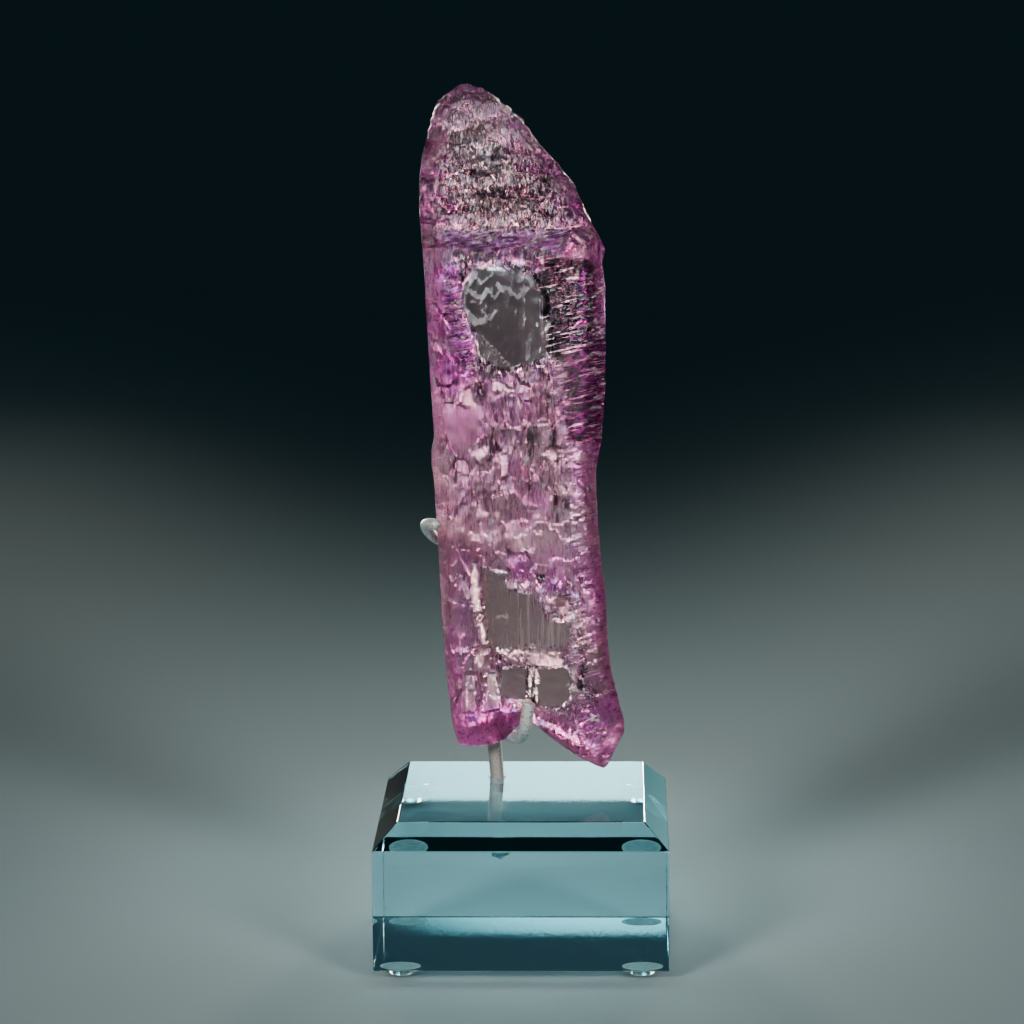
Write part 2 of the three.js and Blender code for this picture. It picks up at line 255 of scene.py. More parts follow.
# the stone's finish; lengths are in millimetres, and fine means cells per millimetre
kunzite = {
    "ior": 1.66, "tint": (0.82, 0.2, 0.54), "density": 45.0, "transmission": 0.95,
    "clear": (0.94, 0.85, 0.76), "lilac": (0.82, 0.18, 0.7), "blush": (1.0, 0.74, 0.6),
    "pale": (1.0, 0.93, 0.84), "vein": (0.58, 0.09, 0.34), "gap": (0.004, 0.002, 0.003),
    # these colours and the gap before them are painted shade, for low ground, the tufts' heels, the
    # comb's troughs and dark patches; the last also colours darker violet patches on the rims
    "hollowShade": (0.075, 0.055, 0.06), "deepHollowShade": (0.28, 0.028, 0.19), "deepVioletShade": (0.1, 0.003, 0.08),
    "smooth": 0.06, "frosted": 0.5, "strokeWide": 0.45, "strokeLong": 1.7, "strokeLean": 0.9,
    "strokeStep": 0.06, "strokeRound": 0.04, "overLonger": 1.4, "overThinner": 0.8, "overRise": 0.2,
    "combPitch": 0.62, "combRise": 0.18, "crestHeight": 0.12, "hairHeight": 0.05,
    "warpFine": 0.4, "warpReach": 1.6, "patchFine": 0.8, "cloudFine": 0.3,
    # stretched noises: how fine in x, y and z, how far the warp shifts x and z, detail, roughness
    "noises": {
        "hairs": (3.2, 1.0, 0.14, 0, 0, 2.0, 0.5), "fibre": (1.8, 1.5, 0.5, 1, 0, 2.0, 0.6),
        "drawn": (1.7, 1.0, 0.07, 0, 0, 2.0, 0.6), "seam": (0.22, 0.3, 0.75, 0, 0.3, 2.0, 0.5, 0.6),
        "lines": (1 / 5.5, 0.2, 1.0, 0, 0.4, 2.0, 0.6),
        "upDash": (2.1, 1.5, 0.6, 0, 1, 1.0, 0.5), "overDash": (0.6, 1.5, 1.7, 1, 0, 1.0, 0.5),
        "upHair": (2.5, 1.5, 0.42, 1, 0, 2.0, 0.6), "overHair": (0.4, 1.5, 1.8, 1, 0, 2.0, 0.6)},
    # where each mask is empty and where it is full
    "masks": {
        "sideways": (0.4, 0.6), "crest": (0.555, 0.61), "streak": (0.52, 0.62), "vein": (0.06, 0.01),
        "paintedSpark": (0.6, 0.68), "drag": (0.5, 0.65), "fleck": (0.42, 0.6), "hollowShade": (0.42, 0.0),
        "heelShade": (0.42, 0.32), "crossed": (0.5, 0.7), "grain": (0.52, 0.4), "shadow": (0.66, 0.5),
        "violet": (0.85, 1.0), "violetPatch": (0.5, 0.36), "violetShadeShare": (0.8, 1.0)}}


def makeKunzite():
    material, bench, place = newFinish("kunzite")
    x, y, z = bench.parts(place)

    def field(name):
        return bench.add("ShaderNodeAttribute", {"attribute_name": name}, out=2)

    def mask(name, value):
        return bench.smooth(value, *kunzite["masks"][name])

    polish, across, level, etch = field("polish"), field("across"), field("level"), field("etch")
    crownShare, pale, comb, heel = field("crown"), field("pale"), field("comb"), field("heel")
    warp = bench.noise(place, kunzite["warpFine"], 1.0) * kunzite["warpReach"]
    patch = bench.noise(place, kunzite["patchFine"])
    cloud = bench.noise(place, kunzite["cloudFine"], 3.0, 0.6)
    # level lines rise a little to the right
    risen = (z - x * kunzite["combRise"]) / kunzite["combPitch"]

    def pattern(name, rise=z):
        fineX, fineY, fineZ, shiftX, shiftZ, *texture = kunzite["noises"][name]
        alongX = x * fineX + warp * shiftX if shiftX else x * fineX
        alongZ = rise * fineZ + warp * shiftZ if shiftZ else rise * fineZ
        return bench.noise(bench.vector(alongX, y * fineY, alongZ), 1.0, *texture)

    # etch strokes: long thin facets, upright over most of the blade, level on the incline
    wide, long = kunzite["strokeWide"], kunzite["strokeLong"]

    def strokes(vector):
        away, chance, offset = bench.facets(vector)
        lean = offset[0] * (chance[1] - 0.5) * 1.3 + offset[2] * (chance[2] - 0.5) * 0.8
        return chance[0], chance[0] * kunzite["strokeStep"] + lean * kunzite["strokeLean"] * wide \
            - away * away * kunzite["strokeRound"]

    upShade, upHeight = strokes(bench.vector(x / wide + warp, y / wide, z / long))
    overShade, overHeight = strokes(bench.vector(
        x / (long * kunzite["overLonger"]) + warp, y / wide,
        (z - x * kunzite["overRise"]) / (wide * kunzite["overThinner"])))
    sideways = mask("sideways", across + comb * 0.6 + (patch - 0.5) * 0.7)
    shade = upShade * (1 - sideways) + overShade * sideways
    strokeHeight = upHeight * (1 - sideways) + overHeight * sideways
    strength = (etch * (0.55 + patch)).clamped()

    # fine upright fibres, drawn lines, and the comb's crests
    hairs, fibre, drawn = pattern("hairs"), pattern("fibre"), pattern("drawn")
    crest = mask("crest", pattern("lines", risen) + (patch - 0.5) * 0.12)
    streak = mask("streak", drawn) * field("streak")
    vein = mask("vein", abs(pattern("seam") - 0.5)) * field("veins")
    # painted glints: bright dashes, tinted pale in the colour and a little rougher
    dash = pattern("upDash") * (1 - sideways) + pattern("overDash", risen) * sideways
    paintedGlint = mask("paintedSpark", dash - heel * 0.12 + crownShare * 0.03) * strength
    height = strokeHeight * strength + hairs * kunzite["hairHeight"] * polish \
        + crest * comb * kunzite["crestHeight"] + field("lift")

    frost = (field("frost") * (0.6 + patch * 0.5 + shade * 0.3) + pale * 0.4 + crest * comb * 0.35
             + paintedGlint * 0.4 + streak * 0.2 + mask("drag", drawn + (patch - 0.5) * 0.3) * polish * 0.1)
    rough = bench.ranged(frost.clamped(), kunzite["smooth"], kunzite["frosted"]) + hairs * 0.06

    # the stone's own colours with a painted peach highlight on the comb's crests, then its pale flecks
    # and painted glints
    tone = field("tone") - 0.5
    mottle = (cloud - 0.5) * 0.5 + (shade - 0.5) * 0.3 + tone * 0.4
    lilac = (field("lilac") + mottle * (1 - crownShare * 0.6)).clamped()
    blush = (field("blush") + (cloud - 0.5) * 0.4 - tone * 0.4 + crest * comb * 0.6).clamped()
    colour = bench.mixed(lilac, kunzite["clear"], kunzite["lilac"])
    colour = bench.mixed(blush * 0.8, colour, kunzite["blush"])
    colour = bench.mixed(vein, colour, kunzite["vein"])
    glintAndPale = (paintedGlint + pale * mask("fleck", fibre + pale * 0.14) + streak * 0.5).clamped()
    colour = bench.mixed(glintAndPale * (1 - blush * 0.4), colour, kunzite["pale"])

    # painted shade: the gaps between the strokes and the low ground are darkened, most of all at the
    # heels of the tufts, and a dim wash of painted shade lies over whole zones; the same dark colours
    # also draw the fine grain lines
    hollowShade = mask("hollowShade", level * 1.4 + shade * 0.8 + (patch - 0.5) * 0.8)
    heelShade = mask("heelShade", fibre + (shade - 0.5) * 0.1 - heel * 0.3 + crownShare * 0.08)
    upHair = pattern("upHair")
    crossed = (sideways * 0.85 + mask("crossed", patch) * 0.3).clamped()
    hair = upHair + (pattern("overHair", risen) - upHair) * crossed
    shadeAndGrain = (hollowShade * (1 - crownShare * 0.8) * 0.4 + heelShade * (1 - lilac * 0.5)) * strength
    shadeAndGrain = ((shadeAndGrain + field("paintedShade") + mask("grain", hair) * field("grain")) * (1 - glintAndPale)).clamped()
    colour = bench.mixed(shadeAndGrain, colour, bench.mixed(lilac, kunzite["hollowShade"], kunzite["deepHollowShade"]))
    # painted shade: the comb's troughs and the dark patches go near black, dark violet on violet ground;
    # deep adds darker violet patches to the rims
    shadow = field("dark") * mask("shadow", fibre + (patch - 0.5) * 0.6)
    deep = mask("violet", lilac) * mask("violetPatch", patch + (hair - 0.5) * 0.7) * 0.5
    shadeAndMottle = (comb * (1 - crest) * 1.2 + shadow + deep).clamped()
    shadeAndMottle = shadeAndMottle * (2 - shadeAndMottle)
    shadeAndMottleColour = bench.mixed(mask("violetShadeShare", lilac), kunzite["gap"], kunzite["deepVioletShade"])
    return finishMaterial(material, bench, {
        "Base Color": bench.mixed(shadeAndMottle, colour, shadeAndMottleColour), "Roughness": rough, "IOR": kunzite["ior"],
        "Transmission Weight": kunzite["transmission"], "Normal": bench.bump(height, 1.0)}, kunzite)


acrylic = {"ior": 1.49, "tint": (0.13, 0.84, 0.95), "density": 10.5, "rough": 0.006,
           "clear": (0.99, 1.0, 1.0), "speck": (0.85, 0.97, 0.97), "ground": (0.9, 1.0, 1.0),
           "white": (1.0, 1.0, 1.0)}


def makeAcrylic():
    material, bench, place = newFinish("clear_acrylic")
    x, y, z = bench.parts(place)
    # hairline scuffs, and a faint drag of the polishing wheel
    scuffs = bench.noise(bench.vector(x * 2.5, y * 0.2, z * 0.6), 1.0, 4.0, 0.7)
    specks = bench.smooth(bench.noise(place, 2.4), 0.7, 0.8)
    return finishMaterial(material, bench, {
        "Base Color": bench.mixed(specks, acrylic["clear"], acrylic["speck"]),
        "Roughness": bench.ranged(scuffs, 0.0, acrylic["rough"] * 2) + specks * 0.15,
        "IOR": acrylic["ior"], "Transmission Weight": 1.0,
        "Normal": bench.bump(scuffs, 0.05, 0.04)}, acrylic)


# the wall that a drill leaves in acrylic: ground white, with turn marks
def makeDrilled(name, through):
    material, bench, place = newFinish(name)
    x, y, z = bench.parts(place)
    rings = bench.noise(bench.vector(x * 0.2, y * 0.2, z * 6.0), 1.0, 3.0, 0.7)
    return finishMaterial(material, bench, {
        "Base Color": bench.mixed(rings, acrylic["ground"], acrylic["white"]),
        "Roughness": bench.ranged(rings, 0.4, 0.7), "IOR": acrylic["ior"],
        "Transmission Weight": through, "Normal": bench.bump(rings, 0.1, 0.5)}, acrylic)


# low and high are the metal's two colours; smooth and rough its two roughnesses
metals = {
    "silver_wire": {"low": (0.92, 0.9, 0.87), "high": (1.0, 0.99, 0.97), "smooth": 0.3, "rough": 0.5,
                    "stretch": 1.2, "metallic": 0.3, "speck": 0.6},
    "post_steel": {"low": (0.62, 0.56, 0.52), "high": (0.86, 0.78, 0.72), "smooth": 0.5, "rough": 0.7,
                   "stretch": 3.0, "metallic": 1.0, "speck": 0.1}}
speckColour = (0.16, 0.16, 0.15)


def makeMetal(name):
    metal = metals[name]
    material, bench, place = newFinish(name)
    x, y, z = bench.parts(place)
    drawn = bench.noise(bench.vector(x * metal["stretch"], y * metal["stretch"], z * 0.5), 1.0, 4.0, 0.65)
    blotch = bench.noise(place, 0.9, 3.0, 0.6)
    pits = bench.smooth(bench.noise(place, 2.1, 2.0, 0.6), 0.54, 0.64)
    colour = bench.mixed(blotch * 0.7 + pits * 0.3, metal["high"], metal["low"])
    return finishMaterial(material, bench, {
        "Base Color": bench.mixed(pits * metal["speck"], colour, speckColour),
        "Roughness": bench.ranged(blotch, metal["smooth"], metal["rough"]) + pits * 0.15,
        "Metallic": metal["metallic"], "Normal": bench.bump(drawn - pits * 0.8, 0.08, 0.35)})


bumper = {"diameter": 8.5, "height": 2.3, "rest": 2.0, "offsetX": 23.4, "offsetY": 23.2, "gap": 0.02,
          "glueFrom": 2.32, "glueTo": 2.38, "glueShare": 0.93, "lip": 0.12, "sides": 48, "steps": 14,
          "seed": 4, "sharp": 40, "ior": 1.5, "clear": (0.97, 1.0, 1.0), "dull": (0.88, 0.93, 0.93),
          "glue": (0.45, 0.62, 0.66), "filmWhite": (0.9, 1.0, 1.0)}


def makeBumperClear():
    material, bench, place = newFinish("clear_bumper")
    skin = bench.noise(place, 1.5, 3.0, 0.6)
    return finishMaterial(material, bench, {
        "Base Color": bench.mixed(skin, bumper["clear"], bumper["dull"]),
        "Roughness": bench.ranged(skin, 0.02, 0.12), "IOR": bumper["ior"],
        "Transmission Weight": 1.0, "Normal": bench.bump(skin, 0.1, 0.2)})


# the glue film between a bumper and the block, whiter in streaks and towards its rim
def makeGlue():
    material, bench, place = newFinish("bumper_glue")
    x, y, z = bench.parts(place)
    fromX = abs(x) - bumper["offsetX"]
    fromY = abs(y) - bumper["offsetY"]
    ring = (fromX * fromX + fromY * fromY) ** 0.5
    streaks = bench.noise(bench.vector(x * 0.5, y * 1.4, z), 1.2, 4.0, 0.7)
    white = (bench.smooth(streaks, 0.42, 0.62) * 0.7 + bench.smooth(ring, 2.8, 3.9) * 0.6).clamped()
    return finishMaterial(material, bench, {
        "Base Color": bench.mixed(white, bumper["glue"], bumper["filmWhite"]),
        "Roughness": bench.ranged(streaks, 0.3, 0.7), "IOR": bumper["ior"],
        "Transmission Weight": 0.35})


finishes = {
    "kunzite": makeKunzite(),
    "acrylic": makeAcrylic(),
    "drilled": makeDrilled("drilled_acrylic", 0.85),
    "mouth": makeDrilled("drilled_mouth", 0.1),
    "wire": makeMetal("silver_wire"),
    "post": makeMetal("post_steel"),
    "bumper": makeBumperClear(),
    "glue": makeGlue(),
}
print("finishes made:", len(finishes))


# the crystal's form: planes, bevels, how the outline bends inwards, and the grid
blade = {
    "ridgeY": 2.6, "frontY": -2.5, "backY": 7.6, "turn": -0.13, "lobeLift": 6, "crownLift": 5,
    "steepRun": 1.6, "sharp": 24, "columns": (14, 84, 34, 16), "rows": (18, 260, 20), "leastIncline": 1.0,
    # outlines are x, z; then the front and back bevel widths
    "left": [
        (-13.1, 39.1, 2.2, 2.6), (-14.3, 43.5, 1.8, 2.6), (-15.3, 52.5, 1.7, 2.6),
        (-16.2, 64.5, 1.7, 2.8), (-16.8, 79, 2, 3), (-17.5, 91, 2.4, 3), (-18, 95.9, 2.8, 3),
        (-18, 98.4, 2.8, 3), (-17.4, 100.7, 2.2, 3), (-17.7, 106.6, 2.2, 3),
        (-18.4, 118.5, 2.4, 3.2), (-18.9, 130.3, 2.4, 3.2), (-19.4, 138.5, 2.6, 3.4),
        (-19.9, 145.5, 3, 3.4), (-19.8, 152.5, 3.2, 3.4), (-19, 157.1, 3, 3.2),
        (-17.6, 161.8, 2.8, 3), (-17, 164.3, 2.6, 3), (-15.8, 167, 2.4, 3)],
    "right": [
        (16.9, 36, 3, 3), (17.9, 38.2, 3.2, 3), (20.1, 42.8, 3.6, 3), (20.1, 45.2, 4, 3.2),
        (18.8, 50.1, 5, 3.6), (17.6, 55, 6, 4), (17, 59.8, 6, 4), (16.4, 71.9, 5.5, 4),
        (15.6, 76.7, 6, 4), (15, 85.1, 7, 4.2), (14.7, 91.1, 7.5, 4.4), (14.7, 95.9, 8.2, 4.6),
        (15.7, 100.7, 9.6, 5), (16.5, 112.5, 10.8, 5), (16.5, 131.4, 10.8, 5),
        (15.9, 136.1, 9, 5), (16.5, 138.4, 7.6, 5), (15.6, 140.7, 6, 4.6),
        (12.9, 145.4, 4.2, 4), (10.9, 150.1, 3.4, 3.6), (7.5, 154.7, 3, 3.4),
        (3.1, 159.4, 2.8, 3.2), (1.3, 161.7, 2.6, 3), (0.4, 163.4, 2.6, 3),
        (-1.9, 165, 2.6, 3), (-4.2, 166.7, 2.6, 3)],
    # the fifth number is the share of the depth that a steep wall takes at the very edge
    "bottom": [
        (-13.1, 39.1, 6.4, 6, 0), (-10.7, 38.8, 7.4, 6.6, 0), (-8.3, 38.8, 7.6, 7, 0),
        (-5.8, 39.4, 7.6, 7.2, 0), (-3.5, 40.5, 7.4, 7.2, 0), (-1.7, 42.5, 5.2, 5.6, 0.05),
        (0.3, 44.5, 3.2, 4, 0.3), (1.6, 44.3, 3, 3.6, 0.42), (3.7, 42.3, 3.4, 3.6, 0.45),
        (7.2, 39.6, 4.2, 3.8, 0.45), (11, 37.2, 4.6, 4, 0.42), (14.4, 35.6, 4.6, 4, 0.38),
        (15.7, 35.2, 4, 3.6, 0.3), (16.9, 36, 3, 3, 0.1)],
    "top": [
        (-15.8, 167, 2.4, 3), (-14.6, 167.9, 2.6, 3), (-12.3, 169.8, 3, 3.2),
        (-11.1, 170.4, 3, 3.2), (-10, 170.4, 3, 3.2), (-8.8, 169.8, 3, 3.2),
        (-7.7, 169.8, 3, 3.2), (-6.5, 169, 2.8, 3), (-5.4, 167.7, 2.6, 3),
        (-4.2, 166.7, 2.6, 3)],
}

# outlines that more than one table uses
band = [(-19, 142), (2, 142), (12, 143.6), (15, 138), (8, 136.4), (-12, 136.4), (-19, 136)]
endFace = [(-13.4, 46.4), (-3.6, 48.8), (-1.7, 47.7), (0, 45.4), (-1.4, 42), (-6, 37), (-14, 38)]
prong = [(3, 48.4), (8, 46.6), (14, 49), (21, 50), (18, 34), (8, 34), (2, 44)]
littlePane = [(-4.6, 110.3), (-1.6, 110.9), (-0.2, 108.4), (-0.5, 105.6), (-4.1, 105.2), (-5.8, 108)]
slantedPane = [(-12.1, 111.5), (-9.9, 112.4), (-8.5, 108.2), (-10.5, 107.3), (-12.2, 108.4)]
leftPatch = [(-15.8, 107), (-12.7, 108), (-8.6, 107.4), (-8.1, 104), (-8.4, 101.4), (-11.7, 98.8),
    (-14.7, 100.6), (-15.9, 103.9)]
dragMarks = [(0.4, 130), (5.6, 129), (6, 119), (0.4, 117)]

# smooth panes in the front face: how far sunk, lean in x and z, polish, softness of the edge,
# outline; the windows, which are seen through, have a pane in the back face too, a little lower
panes = {"ragged": 0.3, "backShift": (-0.3, -1.1), "backSunk": 0.05, "windows": 3, "faces": [
    (0.05, 0.0, 0.0, 1.0, 0.5, [(-9, 135.4), (-5, 135.5), (-0.7, 135.3), (2.3, 133.9), (3.8, 132.3),
        (5.3, 130.2), (6.2, 128), (6.5, 126.1), (5.8, 123.7), (6.2, 121.6), (6.1, 118.5), (3.5, 117.2),
        (0.1, 116), (-1.7, 115.8), (-3.4, 115.1), (-7.7, 117.6), (-8.5, 120.7), (-10, 124.6),
        (-11, 127.4), (-11.1, 130), (-11.2, 132)]),
    (0.05, 0.0, 0.0, 0.97, 0.4, [(-8.2, 76.2), (-2.9, 75.2), (-2.4, 71.8), (2.7, 70.8), (4.9, 66),
        (9.4, 66.1), (10.2, 62.2), (7.7, 60.1), (1.5, 60.4), (-4.7, 59.4), (-6.9, 60), (-7.3, 66.2),
        (-8, 70.2)]),
    (0.05, 0.0, 0.0, 1.0, 0.4, [(-4.4, 56), (-1.1, 56.4), (6, 56.4), (8.8, 57), (10.8, 55.6), (11, 51),
        (9.2, 48.6), (5.5, 48), (2.4, 48.8), (-2.9, 49.8), (-4.6, 50.4)]),
    (0.05, 0.0, 0.0, 0.8, 1.2, [(-15.5, 106.7), (-12.7, 107.6), (-8.8, 107.1), (-8.3, 104), (-8.6, 101.7),
        (-11.7, 99.1), (-14.5, 100.8), (-15.6, 103.9)]),
    (0.2, 0.05, 0.05, 0.4, 0.6, littlePane),
    (0.25, -0.2, 0.05, 0.6, 0.6, slantedPane),
    (0.25, 0.22, -0.1, 0.7, 0.8, [(-10.3, 98.3), (-7.8, 100.6), (-7.2, 99.5), (-7.5, 96.7),
        (-9.2, 96.7)]),
    (0.3, 0.25, 0.0, 0.7, 0.4, [(-4.2, 98.7), (-3, 98.8), (-2.6, 97.9), (-2.8, 94), (-4, 93.9)]),
    (0.35, 0.3, 0.12, 0.7, 0.5, [(3.1, 105.6), (5.3, 105.4), (6.2, 102), (5.3, 100.1), (3.9, 100.9)]),
    (0.35, -0.3, 0.1, 0.7, 0.5, [(6.7, 103.7), (8.4, 106.3), (9.2, 103.5), (7.5, 100.1), (6.7, 100.4)]),
    (0.2, 0.12, 0.15, 0.75, 0.7, [(-14.5, 69), (-9.5, 68.5), (-8.6, 61), (-13.6, 59)]),
    (0.25, 0.35, 0.1, 0.7, 0.4, [(9.8, 73.5), (11.4, 73), (15.4, 66.3), (14.4, 65.6)]),
    (0.25, 0.35, 0.1, 0.6, 0.5, [(14.6, 77.1), (15.8, 77.4), (16.4, 70.9), (15, 64), (14.1, 66.8)]),
    (0.3, 0.25, 0.0, 0.7, 0.4, [(-7, 55.1), (-4.7, 55.1), (-4.8, 47.6), (-7.5, 46.8)]),
    (0.22, -0.25, 0.2, 0.6, 0.6, [(-7.2, 90), (-1, 91.5), (1, 86), (-6.4, 85)])]}

# lines etched into the windows' floors and elsewhere, and thin ridges left standing, with a depth
# below nought: half width, depth, how pale, path
marks = [
    (0.75, 0.02, 0.5, [(-10.6, 131.3), (-8.8, 134.1)]),
    (0.6, 0.02, 0.55, [(-10.8, 131.1), (-9.5, 130.3), (-7.6, 129.2), (-6.4, 130.8)]),
    (0.3, 0.02, 0.5, [(-8.8, 133.4), (-7.6, 132.1), (-5.9, 133.5)]),
    (0.3, 0.02, 0.5, [(-6.4, 130.8), (-5, 129.3), (-3.9, 130.9), (-4.4, 132)]),
    (0.6, 0.02, 0.38, [(-4.4, 132), (-3.5, 131), (-2.4, 131.3), (-1.6, 130.2), (-0.5, 129.6),
        (1.4, 131.3)]),
    (0.3, 0.02, 0.18, [(-10.9, 128.2), (-9.3, 128.5), (-7.2, 128.1)]),
    (0.3, 0.02, 0.4, [(-7.5, 126.8), (-5.9, 124.9), (-4.9, 126.8)]),
    (0.8, 0.02, 0.45, [(-10.6, 126.6), (-8.7, 124.4), (-7, 124.9)]),
    (0.32, 0.02, 0.6, [(6.3, 126), (5, 123.1)]),
    (1.3, 0.02, 0.2, [(-8.8, 121.6), (-6.2, 118.4), (-3.2, 115.8)]),
    (0.26, 0.02, 0.32, [(-7.9, 122.2), (-5.1, 119.2), (-2.1, 116.2)]),
    (0.22, -0.06, 0.8, [(-7.5, 105.1), (-5.8, 104.1), (-3.8, 103.7), (-0.2, 104.2)]),
    (0.22, -0.06, 0.6, [(-14.4, 80.1), (-11.8, 80.9), (-9.6, 80.8)]),
    (0.22, -0.06, 0.6, [(-7.6, 83.1), (-5.6, 84), (-3.4, 84.9)]),
    (0.22, -0.06, 0.5, [(-2, 87.2), (-0.3, 87.7), (3.6, 87.5)]),
    (0.22, -0.06, 0.6, [(-4.2, 92), (-2, 92.9), (0.3, 93.2), (1, 93.8)]),
    (0.22, -0.06, 0.7, [(6.1, 95.3), (8.4, 97), (11.1, 97.6)]),
    (0.22, -0.06, 0.5, [(6.9, 86), (9.7, 87.5), (12, 90.3), (13.4, 94.3), (14.2, 97.7)]),
    (0.22, 0.08, 0.5, [(9.5, 75), (12.2, 70.5), (14.7, 66.3), (16.6, 62.6)]),
    (0.22, -0.06, 0.9, [(-5.2, 66.4), (-3, 66.4)]),
    (0.22, -0.06, 0.6, [(9.4, 51.8), (13.6, 52)])]

